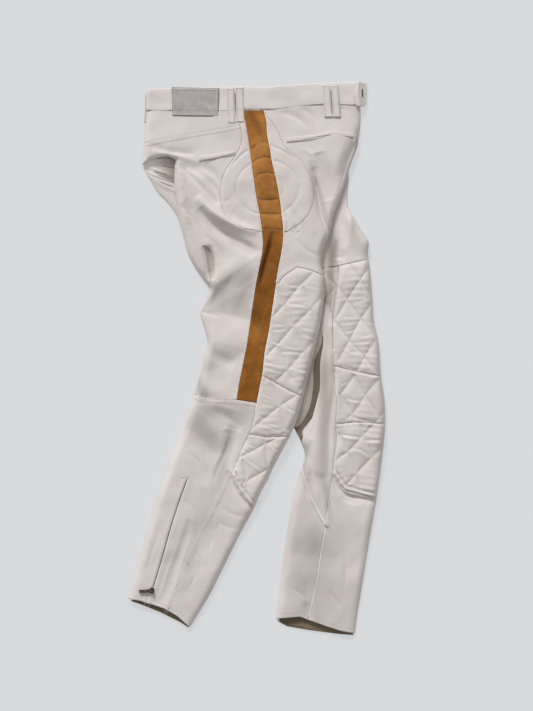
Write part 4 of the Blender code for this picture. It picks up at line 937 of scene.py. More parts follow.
def cloth_piece(name, surface, relief, sides, seams, columns, rows, thickness=SHELL,
                raised=0.0, skip=()):
    """One cut piece as a closed shell: its surface at both depths, with the same relief."""
    x, y = plan(sides, seams, columns, rows)
    face = surface(x.ravel(), y.ravel(), -raised)[2]
    bump = relief(x.ravel(), y.ravel())
    bump = np.maximum(bump, np.minimum(LOWEST - face, 0.0)).reshape(x.shape)
    grids = []
    for depth in (-raised, thickness - raised):
        at_x, at_y, at_z = (part.reshape(x.shape) for part in surface(x.ravel(), y.ravel(), depth))
        grids.append((at_x, at_y, at_z + bump))
    return shell(name, grids[0], grids[1], cells_kept(columns, rows, skip))


def threads(name, rows, height, thick=THREAD, stitch=STITCH):
    """All stitches of one thread colour as one piece.  Each starts at its pitch along its row and
    is a slim pod: a tip, two square rings and a tip, on the height that the height rule gives."""
    lows, highs = [], []
    for row in rows:
        length = np.concatenate([[0.0], np.cumsum(np.hypot(*np.diff(row, axis=0).T))])
        at = np.arange(0.5 * STITCH_PITCH, length[-1], STITCH_PITCH)
        for ends, shift in ((lows, -0.5 * stitch), (highs, 0.5 * stitch)):
            ends.append(np.stack([np.interp(at + shift, length, row[:, k]) for k in (0, 1)], -1))
    low, high = (np.column_stack([plan_points, height(plan_points[:, 0], plan_points[:, 1])])
                 for plan_points in (np.concatenate(lows), np.concatenate(highs)))
    run = high - low
    aside = np.column_stack([-run[:, 1], run[:, 0], np.zeros(len(run))])
    aside *= thick * 1.3 / np.hypot(aside[:, 0], aside[:, 1])[:, None]
    up = np.array((0.0, 0.0, thick))
    rings = [low] + [low + share * run + side * aside + lift * up
                     for share in (0.2, 0.8)
                     for side, lift in ((1, 0.1), (0, 1.3), (-1, 0.1), (0, -0.6))] + [high]
    points = np.stack(rings, 1)
    first = np.arange(len(run))[:, None, None] * len(rings)
    ends = np.array([[0, 2, 1], [0, 3, 2], [0, 4, 3], [0, 1, 4],
                     [9, 5, 6], [9, 6, 7], [9, 7, 8], [9, 8, 5]])
    body = np.array([[1, 2, 6, 5], [2, 3, 7, 6], [3, 4, 8, 7], [4, 1, 5, 8]])
    return add_mesh(name, points.reshape(-1, 3), (first + body).reshape(-1, 4),
                    (first + ends).reshape(-1, 3))


def boxes(name, middles, ways, sizes):
    """Many equal small blocks as one piece: each has its middle, its direction in plan and the
    same three half sizes."""
    way = ways / np.hypot(ways[:, 0], ways[:, 1])[:, None]
    along = np.column_stack([way, np.zeros(len(way))])
    across = np.column_stack([-way[:, 1], way[:, 0], np.zeros(len(way))])
    corners = [(a, b, c) for a in (-1, 1) for b in (-1, 1) for c in (-1, 1)]
    points = np.stack([middles + a * sizes[0] * along + b * sizes[1] * across
                       + c * np.array((0.0, 0.0, sizes[2])) for a, b, c in corners], 1)
    faces = np.array([[0, 1, 3, 2], [4, 6, 7, 5], [0, 4, 5, 1],
                      [2, 3, 7, 6], [0, 2, 6, 4], [1, 5, 7, 3]])
    first = np.arange(len(way))[:, None, None] * 8
    quads = (first + faces).reshape(-1, 4)
    return add_mesh(name, points.reshape(-1, 3), quads, flat=np.ones(len(quads), bool))


def srgb(code):
    """Linear colour of a six-digit sRGB code: the sRGB transfer curve undone."""
    parts = [int(code[k:k + 2], 16) / 255.0 for k in (1, 3, 5)]
    return tuple(p / 12.92 if p <= 0.04045 else ((p + 0.055) / 1.055) ** 2.4 for p in parts) + (1.0,)


def add(tree, kind, links=(), **settings):
    """Adds one node: settings are its properties or, by name, its inputs' values; links are
    (input name or number, socket)."""
    node = tree.nodes.new(kind)
    for name, value in settings.items():
        if hasattr(node, name):
            setattr(node, name, value)
        else:
            node.inputs[name.replace("_", " ")].default_value = value
    for place, socket in links:
        tree.links.new(socket, node.inputs[place])
    return node


def finish_of(name, roughness, **settings):
    """New material with its tree and shader, uniform values set on the shader itself."""
    made = bpy.data.materials.new(name)
    made.use_nodes = True
    shader = made.node_tree.nodes["Principled BSDF"]
    for socket, value in dict(settings, Roughness=roughness).items():
        shader.inputs[socket.replace("_", " ")].default_value = value
    return made, made.node_tree, shader


def mixed(tree, share, first, second):
    """Colour between two codes or sockets by a share."""
    node = add(tree, "ShaderNodeMix", data_type="RGBA")
    tree.links.new(share, node.inputs[0])
    for place, value in ((6, first), (7, second)):
        if isinstance(value, str):
            node.inputs[place].default_value = srgb(value)
        else:
            tree.links.new(value, node.inputs[place])
    return node.outputs[2]


def ramped(tree, socket, low, high, curve="LINEAR"):
    """Socket's value stretched so that low becomes 0 and high becomes 1."""
    return add(tree, "ShaderNodeMapRange", [("Value", socket)], interpolation_type=curve,
               From_Min=low, From_Max=high).outputs[0]


def worked_out(tree, operation, *values):
    """Result of one sum or product, each value a socket or a number."""
    node = add(tree, "ShaderNodeMath", operation=operation)
    for place, value in enumerate(values):
        if isinstance(value, float):
            node.inputs[place].default_value = value
        else:
            tree.links.new(value, node.inputs[place])
    return node.outputs[0]


def noise(tree, place, size_mm, detail=3.0, roughness=0.55):
    """Noise whose largest patches are about size_mm wide."""
    return add(tree, "ShaderNodeTexNoise", [("Vector", place)], Scale=1.0 / (size_mm * MM),
               Detail=detail, Roughness=roughness).outputs[0]


def bumped(tree, shader, *layers):
    """Bumps on top of one another: each layer is a height socket and its depth in millimetres."""
    normal = None
    for socket, depth in layers:
        links = [("Height", socket)] + ([("Normal", normal)] if normal else [])
        normal = add(tree, "ShaderNodeBump", links, Strength=1.0, Distance=depth * MM).outputs[0]
    tree.links.new(normal, shader.inputs["Normal"])


def twill(name, lit, shaded, pitch=1.3):
    """Brushed cotton twill: the diagonal ribs, 1.3 mm apart, give the soft matt face, the fuzz
    gives a faint sheen at grazing angles, and broad faint patches stop it looking new."""
    made, tree, shader = finish_of(name, 0.92, Sheen_Weight=0.12, Sheen_Roughness=0.5,
                                   Specular_IOR_Level=0.15)
    place = add(tree, "ShaderNodeTexCoord").outputs["Object"]
    ribs = add(tree, "ShaderNodeTexWave", [("Vector", place)], wave_type="BANDS",
               bands_direction="DIAGONAL", Scale=0.1 / (pitch * MM), Distortion=1.2, Detail=1.0)
    patches = ramped(tree, noise(tree, place, 90.0), 0.35, 0.68)
    tree.links.new(mixed(tree, patches, lit, shaded), shader.inputs["Base Color"])
    bumped(tree, shader, (ribs.outputs[0], 0.05), (noise(tree, place, 9.0, 4.0), 0.35))
    return made


def beside_line(tree, place, start, end, width, strength):
    """Share, up to a strength, beside a straight line between two plan points in millimetres: an
    S-shaped fall with the distance from it, which also dies out over the last part at each end."""
    run = Vector((end[0] - start[0], end[1] - start[1]))
    x, y = (add(tree, "ShaderNodeSeparateXYZ", [("Vector", place)]).outputs[k] for k in (0, 1))
    product = strength
    for way, low, high in (((run.y, -run.x), width, 0.0),
                           ((run.x, run.y), 0.0, LINE_END * run.length),
                           ((run.x, run.y), run.length, (1.0 - LINE_END) * run.length)):
        first = worked_out(tree, "MULTIPLY", x, way[0] / run.length)
        total = worked_out(tree, "MULTIPLY_ADD", y, way[1] / run.length, first)
        base = (start[0] * way[0] + start[1] * way[1]) / run.length * MM
        placed = worked_out(tree, "SUBTRACT", total, base)
        if high == 0.0:
            placed = worked_out(tree, "ABSOLUTE", placed)
        share = ramped(tree, placed, low * MM, high * MM, "SMOOTHSTEP")
        product = worked_out(tree, "MULTIPLY", share, product)
    return product


def paint_fold_shade(made, table, shade):
    """Paints shade into a cloth's folds: its colour goes towards the shade beside each line of a table."""
    tree = made.node_tree
    place = tree.nodes["Texture Coordinate"].outputs["Object"]
    base = tree.nodes["Principled BSDF"].inputs["Base Color"]
    colour = base.links[0].from_socket
    for start, end, width, strength in table:
        share = beside_line(tree, place, *traced(start, end), width, strength)
        colour = mixed(tree, share, colour, shade)
    tree.links.new(colour, base)
    return made


def fold_shade():
    """Cotton twill inside the seat's fold, with painted light and shade: pale and faintly glowing at
    its mouth as a stand-in for light that bounces in, and painted darker the deeper it lies."""
    made = twill("cotton twill inside the fold, painted light and shade", "#B9AEA8", "#A79C95")
    tree = made.node_tree
    place = tree.nodes["Texture Coordinate"].outputs["Object"]
    x = add(tree, "ShaderNodeSeparateXYZ", [("Vector", place)]).outputs[0]
    # Painted shade: the colour darkens from the fold's mouth inwards
    deeper = ramped(tree, x, FOLD_MOUTH * MM, FOLD_END * MM)
    shader = tree.nodes["Principled BSDF"]
    colour = mixed(tree, deeper, "#DAD2CD", "#8E827A")
    # Painted light: the cloth glows faintly in its own colour, standing in for light bounced into the fold
    for socket in ("Base Color", "Emission Color"):
        tree.links.new(colour, shader.inputs[socket])
    shader.inputs["Emission Strength"].default_value = 0.2
    return made


def suede(name, brushed, lit):
    """Tan suede: its nap lies in patches, darker where it is brushed back, with a warm sheen."""
    made, tree, shader = finish_of(name, 1.0, Sheen_Weight=0.25, Sheen_Tint=srgb("#D9A468"),
                                   Specular_IOR_Level=0.1)
    place = add(tree, "ShaderNodeTexCoord").outputs["Object"]
    nap = ramped(tree, noise(tree, place, 34.0, 5.0, 0.62), 0.36, 0.66)
    fibres = noise(tree, place, 2.2, 4.0, 0.7)
    base = mixed(tree, nap, brushed, lit)
    grain = mixed(tree, ramped(tree, fibres, 0.3, 0.72), brushed, lit)
    share = add(tree, "ShaderNodeValue")
    share.outputs[0].default_value = 0.3
    tree.links.new(mixed(tree, share.outputs[0], base, grain), shader.inputs["Base Color"])
    bumped(tree, shader, (fibres, 0.12), (nap, 0.3))
    return made


def leather(name, lit, shaded, roughness, grain=1.6):
    """Leather: small pebbles of grain, and colour that is uneven where it was rubbed."""
    made, tree, shader = finish_of(name, roughness)
    place = add(tree, "ShaderNodeTexCoord").outputs["Object"]
    pebbles = add(tree, "ShaderNodeTexVoronoi", [("Vector", place)], Scale=1.0 / (grain * MM))
    rubbed = ramped(tree, noise(tree, place, 16.0, 5.0, 0.6), 0.35, 0.68)
    tree.links.new(mixed(tree, rubbed, lit, shaded), shader.inputs["Base Color"])
    bumped(tree, shader, (pebbles.outputs[0], 0.06), (noise(tree, place, 12.0, 4.0), 0.3))
    return made


def worn_metal(name, lit, shaded, roughness):
    """Zip metal: dark plating with rubbed, brighter places."""
    made, tree, shader = finish_of(name, roughness, Metallic=0.9)
    place = add(tree, "ShaderNodeTexCoord").outputs["Object"]
    rubbed = ramped(tree, noise(tree, place, 3.0), 0.4, 0.65)
    tree.links.new(mixed(tree, rubbed, lit, shaded), shader.inputs["Base Color"])
    bumped(tree, shader, (rubbed, 0.03))
    return made


def two_tone(name, lit, shaded, size_mm, roughness=0.9):
    """Thread, tape or painted shade: two close colours in patches of one size."""
    made, tree, shader = finish_of(name, roughness)
    place = add(tree, "ShaderNodeTexCoord").outputs["Object"]
    tree.links.new(mixed(tree, noise(tree, place, size_mm), lit, shaded), shader.inputs["Base Color"])
    return made


LINE_END = 0.3          # share of a shaded line over which it dies out at each end

# Folds with painted shade, traced: start, end, half width in millimetres and strength
RIGHT_SHADES = (
    ((186, 402), (262, 420), 40.0, 0.42), ((186, 416), (226, 452), 34.0, 0.42),
    ((236, 412), (214, 505), 17.0, 0.42), ((222, 430), (242, 432), 8.0, 0.3),
    ((196, 300), (262, 272), 44.0, 0.3), ((236, 322), (254, 262), 26.0, 0.3),
    ((194, 372), (206, 404), 22.0, 0.55), ((192, 378), (252, 338), 34.0, 0.24),
    ((208, 498), (172, 618), 30.0, 0.2),
    ((360, 132), (338, 186), 20.0, 0.42), ((312, 160), (331, 238), 7.0, 0.3),
    ((222, 236), (264, 256), 16.0, 0.25), ((192, 505), (158, 606), 9.0, 0.22),
    ((208, 440), (204, 560), 60.0, 0.1))
LEFT_SHADES = (
    ((334, 222), (328, 330), 16.0, 0.75), ((336, 232), (332, 272), 13.0, 0.6),
    ((346, 214), (366, 262), 20.0, 0.25),
    ((328, 334), (320, 500), 18.0, 0.5), ((304, 430), (304, 486), 14.0, 0.4),
    ((314, 508), (316, 580), 26.0, 0.26), ((322, 470), (332, 530), 12.0, 0.35),
    ((322, 490), (314, 660), 100.0, 0.28), ((300, 480), (302, 630), 30.0, 0.14))
SUEDE_SHADES = (
    ((274, 226), (256, 296), 8.0, 0.95), ((246, 104), (264, 138), 10.0, 0.35),
    ((272, 240), (250, 340), 50.0, 0.2))

# Painted shade: both cottons darken towards a grey-brown beside the traced folds
COTTON = paint_fold_shade(twill("off-white cotton twill", "#E4DBD7", "#DBD1CC"), RIGHT_SHADES, "#948B86")
LEFT_COTTON = paint_fold_shade(twill("off-white cotton twill, left half", "#E4DBD7", "#DBD1CC"),
                           LEFT_SHADES, "#948A81")
BAND_TWILL = twill("waistband twill", "#E7DEDA", "#DFD6D1", 1.1)
# Painted shade on the right leg's inner side in the gap
INNER_SIDE_SHADE_TWILL = twill("cotton twill, leg's inner side, painted shade", "#C3BAB0", "#B5ABA0")
# Painted light and shade inside the seat's fold
PAINTED_FOLD_TWILL = fold_shade()
# Painted shade inside the seat's crease
CREASE_SHADE_TWILL = twill("cotton twill in the seat crease, painted shade", "#C4BAB3", "#B6ABA3")
# Painted shade deep in the gap between the legs
GAP_SHADE_TWILL = twill("cotton twill deep in the gap, painted shade", "#84776A", "#6E6256")
# Painted shade in the hems' openings
HEM_SHADE = twill("hem's inner side, painted shade", "#8A7864", "#6E5E4D")
# Painted shade: both suedes darken towards a dark brown beside the traced folds
PADDED_SUEDE = paint_fold_shade(suede("tan suede", "#935D2B", "#C2884A"), SUEDE_SHADES, "#4E2A10")
# Lower stripe's suede: darker base tones, with the same painted fold shade
LOWER_SUEDE = paint_fold_shade(suede("darker tan suede", "#7B4C1D", "#AA7035"), SUEDE_SHADES,
                            "#4E2A10")
PATCH = leather("grey patch leather", "#BDB8B4", "#A8A29E", 0.62)
RAW_LEATHER = leather("raw edge of the patch", "#6A615B", "#544C47", 0.75)
ZIP_METAL = worn_metal("dark zip metal", "#6E6862", "#4A4540", 0.38)
PULL_METAL = worn_metal("pull tab metal", "#8A8178", "#3A342F", 0.42)
THREAD_DYE = two_tone("cotton thread", "#E4DAD2", "#D2C6BC", 3.0)
QUILT_THREAD = two_tone("quilting thread", "#DDD2C9", "#CBBEB3", 3.0)
ZIP_TAPE_DYE = two_tone("zip tape", "#6B5F55", "#54493F", 2.0)
# Painted shade in the tab's slot
SLOT_SHADE = two_tone("shade in the tab's slot", "#332C28", "#26211E", 2.0)
TRIM_THREAD = two_tone("patch and loop thread", "#F6F1ED", "#E9E1DB", 3.0)
# Painted shade in slits and under lips
SLIT_SHADE = two_tone("shade in a slit", "#85796F", "#6F645B", 2.0)
LINING_EDGE = two_tone("waistband's inner edge", "#D9CABD", "#C6B4A4", 4.0)
# Painted highlight on the folded edges
EDGE_HIGHLIGHT_TWILL = twill("folded cloth edge, painted highlight", "#F4EFEC", "#EEE7E3", 1.1)
TAN_THREAD = two_tone("tan thread", "#F3D6B0", "#DDB384", 3.0)
# Pale grey sheet lit from behind as on a light table, which leaves only faint shadows
SWEEP = finish_of("pale grey lit sweep", 0.95, Base_Color=srgb("#787878"),
                  Emission_Color=srgb("#BFC1C3"), Emission_Strength=1.0)[0]


def settle(piece, finish):
    """Gives a piece its finish and the body that it moves with."""
    piece.data.materials.append(finish)
    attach(piece, "garment")
    return piece


def lay(piece, node, finish=COTTON, slot="cotton_twill", rests_on=("right_leg_underside",)):
    """Cloth piece in place of its solid: it gets its finish and body, and the solid is hidden.
    Slot and rests_on are not used.
    """
    settle(piece, finish)
    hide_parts(node)


def back_panel_side(y):
    """Back panel's side: the hip pad's edge, and the stripe's below the pad."""
    return np.where(np.asarray(y) > PAD_FOOT, PAD_BACK(y), STRIPE_BACK(y))


def front_panel_side(y):
    """Front panel's side: the hip pad's edge, and the stripe's below the pad."""
    return np.where(np.asarray(y) > PAD_FOOT, PAD_FRONT(y), FRONT_SEAM(y))


def band_relief(x, y):
    """Waistband: rolled at its two edges, and dented along the stitch rows."""
    from_top = WAIST_TOP(x) - y
    from_seam = y - WAIST_SEAM(x)
    relief = -1.1 * np.exp(-from_top / 1.6) - 0.4 * np.exp(-from_seam / 1.2)
    relief = relief - 0.35 * (np.exp(-((from_top - 3.0) / 0.9) ** 2)
                              + np.exp(-((from_seam - 3.0) / 0.9) ** 2))
    return relief + 1.3 * ripples(x, y, 11)


def seat_pieces():
    """Waistband, yoke, back and front panels of the right half."""
    lay(cloth_piece("right_waistband_cloth", right_half, band_relief,
                    (SEAT_EDGE, moved(RIGHT_FRONT_EDGE, -4.0)), (WAIST_TOP, WAIST_SEAM),
                    spread(426.0, FINE_STEP, True, True, BAND_EDGE_RADIUS), spread(44.0, FINE_STEP),
                    BAND_SHELL, 0.9), "waistband_right", BAND_TWILL, "waistband_twill",
        ("waistband_left",))
    lay(cloth_piece("right_yoke_cloth", right_half, right_sewing, (SEAT_EDGE, STRIPE_BACK),
                    (WAIST_SEAM, YOKE_SEAM), spread(196.0, PLAIN_STEP, round_first=True),
                    spread(48.0, FINE_STEP)), "right_yoke", rests_on=("seat_underside",))
    columns = bands(spread(64.0, PLAIN_STEP, round_first=True),
                    spread(112.0, PLAIN_STEP, round_first=True))
    rows = bands(spread(60.0, PLAIN_STEP), spread(478.0, PLAIN_STEP))
    lay(cloth_piece("right_back_cloth", right_half, right_sewing,
                    (SEAT_EDGE, RIGHT_BACK_EDGE, back_panel_side),
                    (YOKE_SEAM, SEAT_LIP, KNEE_BACK_SEAM), columns, rows, skip=((1, 0),)),
        "right_back", rests_on=("seat_underside", "right_leg_underside"))
    lay(cloth_piece("right_front_cloth", right_half, right_sewing,
                    (front_panel_side, RIGHT_FRONT_EDGE), (WAIST_SEAM, QUILT_TOP),
                    spread(112.0, PLAIN_STEP, round_last=True), spread(354.0, PLAIN_STEP)),
        "right_front", rests_on=("seat_underside",))


def hip_pads():
    """Padded hip piece, one half on each side of the stripe."""
    for name, node, sides, top in (
            ("back_hip_pad_cloth", "hip_pad_back", (PAD_BACK, STRIPE_BACK), YOKE_SEAM),
            ("front_hip_pad_cloth", "hip_pad_front", (FRONT_SEAM, PAD_FRONT), level(497.0))):
        lay(cloth_piece(name, right_half, pad_quilting, sides, (top, PAD_END),
                        spread(60.0, PLAIN_STEP), spread(230.0, PLAIN_STEP)), node,
            rests_on=("seat_underside",))


def stripe_pieces():
    """Suede side stripe: sewn channels above, plain below."""
    sides, middle = (STRIPE_BACK, FRONT_SEAM), level(257.5)
    lay(cloth_piece("upper_stripe_suede", right_half, channel_quilting, sides,
                    (WAIST_SEAM, middle), spread(40.0, FINE_STEP), spread(244.0, FINE_STEP)),
        "stripe_upper", PADDED_SUEDE, "tan_suede", ("seat_underside",))
    lay(cloth_piece("lower_stripe_suede", right_half, plain_suede, sides,
                    (middle, KNEE_BACK_SEAM), spread(40.0, FINE_STEP), spread(338.0, PLAIN_STEP)),
        "stripe_lower", LOWER_SUEDE, "tan_suede")


def right_quilt_pieces():
    """Quilted thigh, knee and shin of the right leg."""
    for part, top, bottom, length in (("thigh", QUILT_TOP, QUILT_KNEE, 218.0),
                                      ("knee", QUILT_KNEE, QUILT_SHIN, 96.0),
                                      ("shin", QUILT_SHIN, QUILT_END, 108.0)):
        lay(cloth_piece(f"right_{part}_quilted_cloth", right_half, right_quilting,
                        (FRONT_SEAM, RIGHT_FRONT_EDGE), (top, bottom),
                        spread(90.0, FINE_STEP, round_last=True), spread(length, FINE_STEP)),
            f"right_{part}_quilt")


def right_lower_pieces():
    """Lower leg of the right half: the back piece with the zip's slit and the front piece."""
    columns = bands(spread(40.0, PLAIN_STEP, round_first=True), ONE_CELL, spread(60.0, PLAIN_STEP))
    rows = bands(spread(160.0, PLAIN_STEP), spread(254.0, PLAIN_STEP))
    lay(cloth_piece("right_lower_back_cloth", right_half, zip_relief,
                    (RIGHT_BACK_EDGE, moved(ZIP_LINE, -SLIT), moved(ZIP_LINE, SLIT), FRONT_SEAM),
                    (KNEE_BACK_SEAM, ZIP_TOP, RIGHT_HEM), columns, rows, skip=((1, 1),)),
        "right_lower_back")
    lay(cloth_piece("right_lower_front_cloth", right_half, right_sewing,
                    (FRONT_SEAM, RIGHT_FRONT_EDGE), (QUILT_END, RIGHT_HEM),
                    spread(66.0, PLAIN_STEP, round_last=True), spread(250.0, PLAIN_STEP)),
        "right_lower_front")


def zip_relief(x, y):
    """Sewing of the lower leg, with the cloth rolled down at the zip and raised beside it."""
    aside = np.abs(x - ZIP_LINE(y))
    beside = eased(-238.0 - y, 6.0)
    roll = -0.9 * np.exp(-(aside - SLIT) / 1.5) + 0.7 * np.exp(-((aside - 5.5) / 3.0) ** 2)
    roll = roll - 0.3 * np.exp(-((aside - 4.6) / 0.8) ** 2)
    return right_sewing(x, y) + roll * beside


def left_quilt_pieces():
    """Quilted thigh, knee and shin of the left leg."""
    for part, top, bottom, length in (("thigh", LEFT_QUILT_TOP, LEFT_QUILT_KNEE, 215.0),
                                      ("knee", LEFT_QUILT_KNEE, LEFT_QUILT_SHIN, 104.0),
                                      ("shin", LEFT_QUILT_SHIN, LEFT_QUILT_END, 128.0)):
        lay(cloth_piece(f"left_{part}_quilted_cloth", left_half, left_quilting,
                        (INSEAM, LEFT_FRONT_EDGE), (top, bottom),
                        spread(88.0, FINE_STEP, round_last=True), spread(length, FINE_STEP)),
            f"left_{part}_quilt", LEFT_COTTON, rests_on=("left_leg_underside",))


def left_pieces():
    """Plain pieces of the left half that show beside the right one."""
    columns = spread(52.0, PLAIN_STEP, round_first=True, radius=SEAT_TURN)
    sides = (LEFT_SEAT_EDGE, moved(RIGHT_BACK_EDGE, 22.0))
    # The left yoke lies inside the fold, so it takes the fold's painted light and shade
    lay(cloth_piece("left_yoke_cloth", left_seat, seat_sewing, sides,
                    (LEFT_SEAT_TOP, LEFT_YOKE_SEAM), columns, spread(40.0, PLAIN_STEP)),
        "left_yoke", PAINTED_FOLD_TWILL, rests_on=("seat_underside",))
    lay(cloth_piece("left_back_cloth", left_seat, seat_sewing, sides,
                    (LEFT_YOKE_SEAM, LEFT_SEAT_END), columns, spread(92.0, PLAIN_STEP)),
        "left_back", rests_on=("seat_underside",))
    lay(cloth_piece("left_front_cloth", left_half, left_sewing,
                    (LEFT_BACK_EDGE, valley, LEFT_FRONT_EDGE), (LEFT_FRONT_TOP, LEFT_QUILT_TOP),
                    bands(spread(20.0, 4.0), spread(56.0, PLAIN_STEP, round_last=True)),
                    spread(200.0, PLAIN_STEP)), "left_front", LEFT_COTTON, rests_on=("seat_underside",))
    columns = bands(spread(34.0, PLAIN_STEP, round_first=True), spread(30.0, PLAIN_STEP))
    sides = (LEFT_BACK_EDGE, valley, INSEAM)
    lay(cloth_piece("left_inner_cloth", left_half, inner_quilting, sides,
                    (LEFT_QUILT_TOP, INNER_SEAM), columns, spread(450.0, PLAIN_STEP)),
        "left_inner", LEFT_COTTON, rests_on=("left_leg_underside",))
    lay(cloth_piece("left_lower_inner_cloth", left_half, left_sewing, sides,
                    (INNER_SEAM, LEFT_HEM), columns, spread(250.0, PLAIN_STEP)),
        "left_lower_inner", LEFT_COTTON, rests_on=("left_leg_underside",))
    lay(cloth_piece("left_lower_front_cloth", left_half, left_sewing,
                    (INSEAM, LEFT_FRONT_EDGE), (LEFT_QUILT_END, LEFT_HEM),
                    spread(96.0, PLAIN_STEP, round_last=True), spread(280.0, PLAIN_STEP)),
        "left_lower_front", LEFT_COTTON, rests_on=("left_leg_underside",))


def valley(y):
    """Line beside the right half's front edge, where the left half starts to rise."""
    low = LEFT_BACK_EDGE(y) + 20.0
    return np.clip(RIGHT_FRONT_EDGE(y) + 10.0, low, np.maximum(low, INSEAM(y) - 12.0))


def gap_share(x, y):
    """Place across the gap between the legs: 0 at the right leg's edge, 1 at the strip's edge."""
    start = RIGHT_FRONT_EDGE(y) - 6.0
    return np.clip((x - start) / np.maximum(INNER_STRIP_EDGE(y) - start, 1.0), 0.0, 1.0)


def inner_strip(x, y, depth=0.0):
    """Right leg's inner side in the gap: a parabola that falls from the leg to its free edge."""
    return x, y, 6.2 + 4.2 * (1.0 - gap_share(x, y) ** 2) - depth


def strip_folds(x, y):
    """Two thin folds that run down the inner strip."""
    first = np.exp(-((gap_share(x, y) - 0.62) / 0.09) ** 2)
    second = np.exp(-((gap_share(x, y) - 0.85) / 0.06) ** 2)
    return -1.1 * first - 0.7 * second


def gap_pieces():
    """Cloth that shows in the gap between the legs, painted darker as the gap's shade: the right
    leg's inner side, and the left half's cloth deep below it."""
    deep = cloth_piece("gap_cloth", plane(5.6), unsewn,
                       (lambda y: np.maximum(RIGHT_FRONT_EDGE(y) - 4.0, LEFT_BACK_EDGE(y) + 1.0),
                        GAP_EDGE), (level(98.0), level(-190.0)), spread(18.0, 2.0),
                       spread(288.0, 4.0), 0.5)
    # Painted shade: dark brown cloth at the bottom of the gap
    settle(deep, GAP_SHADE_TWILL)
    strip = cloth_piece("right_leg_inner_strip", inner_strip, strip_folds,
                        (moved(RIGHT_FRONT_EDGE, -6.0), INNER_STRIP_EDGE),
                        (level(116.0), level(-136.0)), spread(22.0, 1.2), spread(252.0, 3.0), 1.0)
    # Painted shade: the strip is a darker beige than the cotton, for the leg's side in the gap
    settle(strip, INNER_SIDE_SHADE_TWILL)


# Sides of the seat's underside, (y, x)
SEAT_SIDE = line((540, -212), (498, -216), (448, -220), (410, -220), (384, -220),
                 (358, -206), (318, -176), (278, -148), (240, -138))
FRONT_SIDE = line((540, 201), (482, 203), (448, 200), (422, 193), (396, 178), (358, 168),
                  (302, 168), (282, 178), (258, 192), (238, 208), (188, 218), (118, 226))


def lifted(x, y, depth=0.0):
    """Underside of the right leg: flat, then up over the left leg's edge."""
    rise = eased(x - LEFT_BACK_EDGE(y) + RAMP_START, RAMP_START - RAMP_END)
    return x, y, UNDER_CLOTH - depth + rise * FRONT_EDGE_BASE(y)


def ramp(before, inside):
    """Line where the right leg's underside starts or ends its climb onto the left leg."""
    return lambda y: np.minimum(LEFT_BACK_EDGE(y) - before, RIGHT_FRONT_EDGE(y) - inside)


def undersides():
    """Lower cloth: left waistband, left seat, and the underside of each leg."""
    pieces = (
        ("left_waistband_cloth", "waistband_left", plane(UNDER_CLOTH),
         (moved(SEAT_EDGE, LOW_INSET), moved(RIGHT_FRONT_EDGE, -4.0 - LOW_INSET)),
         (WAIST_TOP, WAIST_SEAM), spread(420.0, UNDER_STEP), spread(44.0, UNDER_STEP)),
        ("left_seat_cloth", "seat_underside", plane(UNDER_CLOTH), (SEAT_SIDE, FRONT_SIDE),
         (WAIST_SEAM, CROTCH_SEAM), spread(400.0, UNDER_STEP), spread(330.0, UNDER_STEP)),
        ("right_leg_under_cloth", "right_leg_underside", lifted,
         (moved(RIGHT_BACK_EDGE, 8.0), ramp(RAMP_START, 12.0), ramp(RAMP_END, 8.0),
          moved(RIGHT_FRONT_EDGE, -UNDER_INSET)), (CROTCH_SEAM, RIGHT_HEM_UNDER),
         bands(spread(140.0, UNDER_STEP), ONE_CELL, ONE_CELL),
         spread(690.0, UNDER_STEP)),
        ("left_leg_under_cloth", "left_leg_underside", plane(UNDER_CLOTH),
         (moved(LEFT_BACK_EDGE, LOW_INSET), moved(LEFT_FRONT_EDGE, -UNDER_INSET)),
         (cross_seam((90, 125), (240, 125)), LEFT_HEM_UNDER), spread(150.0, UNDER_STEP),
         spread(670.0, UNDER_STEP)))
    for name, node, surface, sides, seams, columns, rows in pieces:
        look = (BAND_TWILL, "waistband_twill") if node == "waistband_left" else (COTTON, "cotton_twill")
        lay(cloth_piece(name, surface, unsewn, sides, seams, columns, rows, UNDER_CLOTH), node,
            *look, ("floor",))


def backings():
    """Seam allowances under the panels, as cloth just below each half's face: it shows through
    the fine gaps at the seams."""
    for name, under, surface, relief, sides, seams, width, length in (
            ("right_seat_allowances", "seat_underside", right_half, right_sewing,
             (moved(SEAT_EDGE, BACKING_INSET), moved(RIGHT_FRONT_EDGE, -BACKING_INSET)),
             (moved(WAIST_SEAM, 6.0), level(412.0)), 410.0, 90.0),
            ("right_leg_allowances", "right_leg_underside", right_half, plain_suede,
             (moved(RIGHT_BACK_EDGE, BACKING_INSET), moved(RIGHT_FRONT_EDGE, -BACKING_INSET)),
             (level(396.0), moved(RIGHT_HEM, 5.0)), 200.0, 900.0),
            ("left_leg_allowances", "left_leg_underside", left_half, left_sewing,
             (moved(LEFT_BACK_EDGE, BACKING_INSET), moved(LEFT_FRONT_EDGE, -BACKING_INSET)),
             (level(210.0), moved(LEFT_HEM, 5.0)), 150.0, 740.0)):
        piece = cloth_piece(name, surface, relief, sides, seams, spread(width, 3.0),
                            spread(length, 3.0), BACKING_CLOTH, -BACKING_DEPTH)
        settle(piece, COTTON)


def inside_hems():
    """Inner side of each hem's lower layer, seen in the ankle's opening, painted dark brown as its shade.
    """
    for name, edge, start, end, leg in (
            ("right_hem_inside", RIGHT_HEM, RIGHT_BACK_EDGE, RIGHT_FRONT_EDGE, RIGHT_HEM_UNDER),
            ("left_hem_inside", LEFT_HEM, LEFT_BACK_EDGE, LEFT_FRONT_EDGE, LEFT_HEM_UNDER)):
        piece = cloth_piece(name, plane(UNDER_CLOTH + 1.0), unsewn,
                            (moved(start, 9.0), moved(end, -4.0)), (moved(edge, 26.0), leg),
                            spread(130.0, 5.0), spread(30.0, 3.0), 0.9)
        settle(piece, HEM_SHADE)


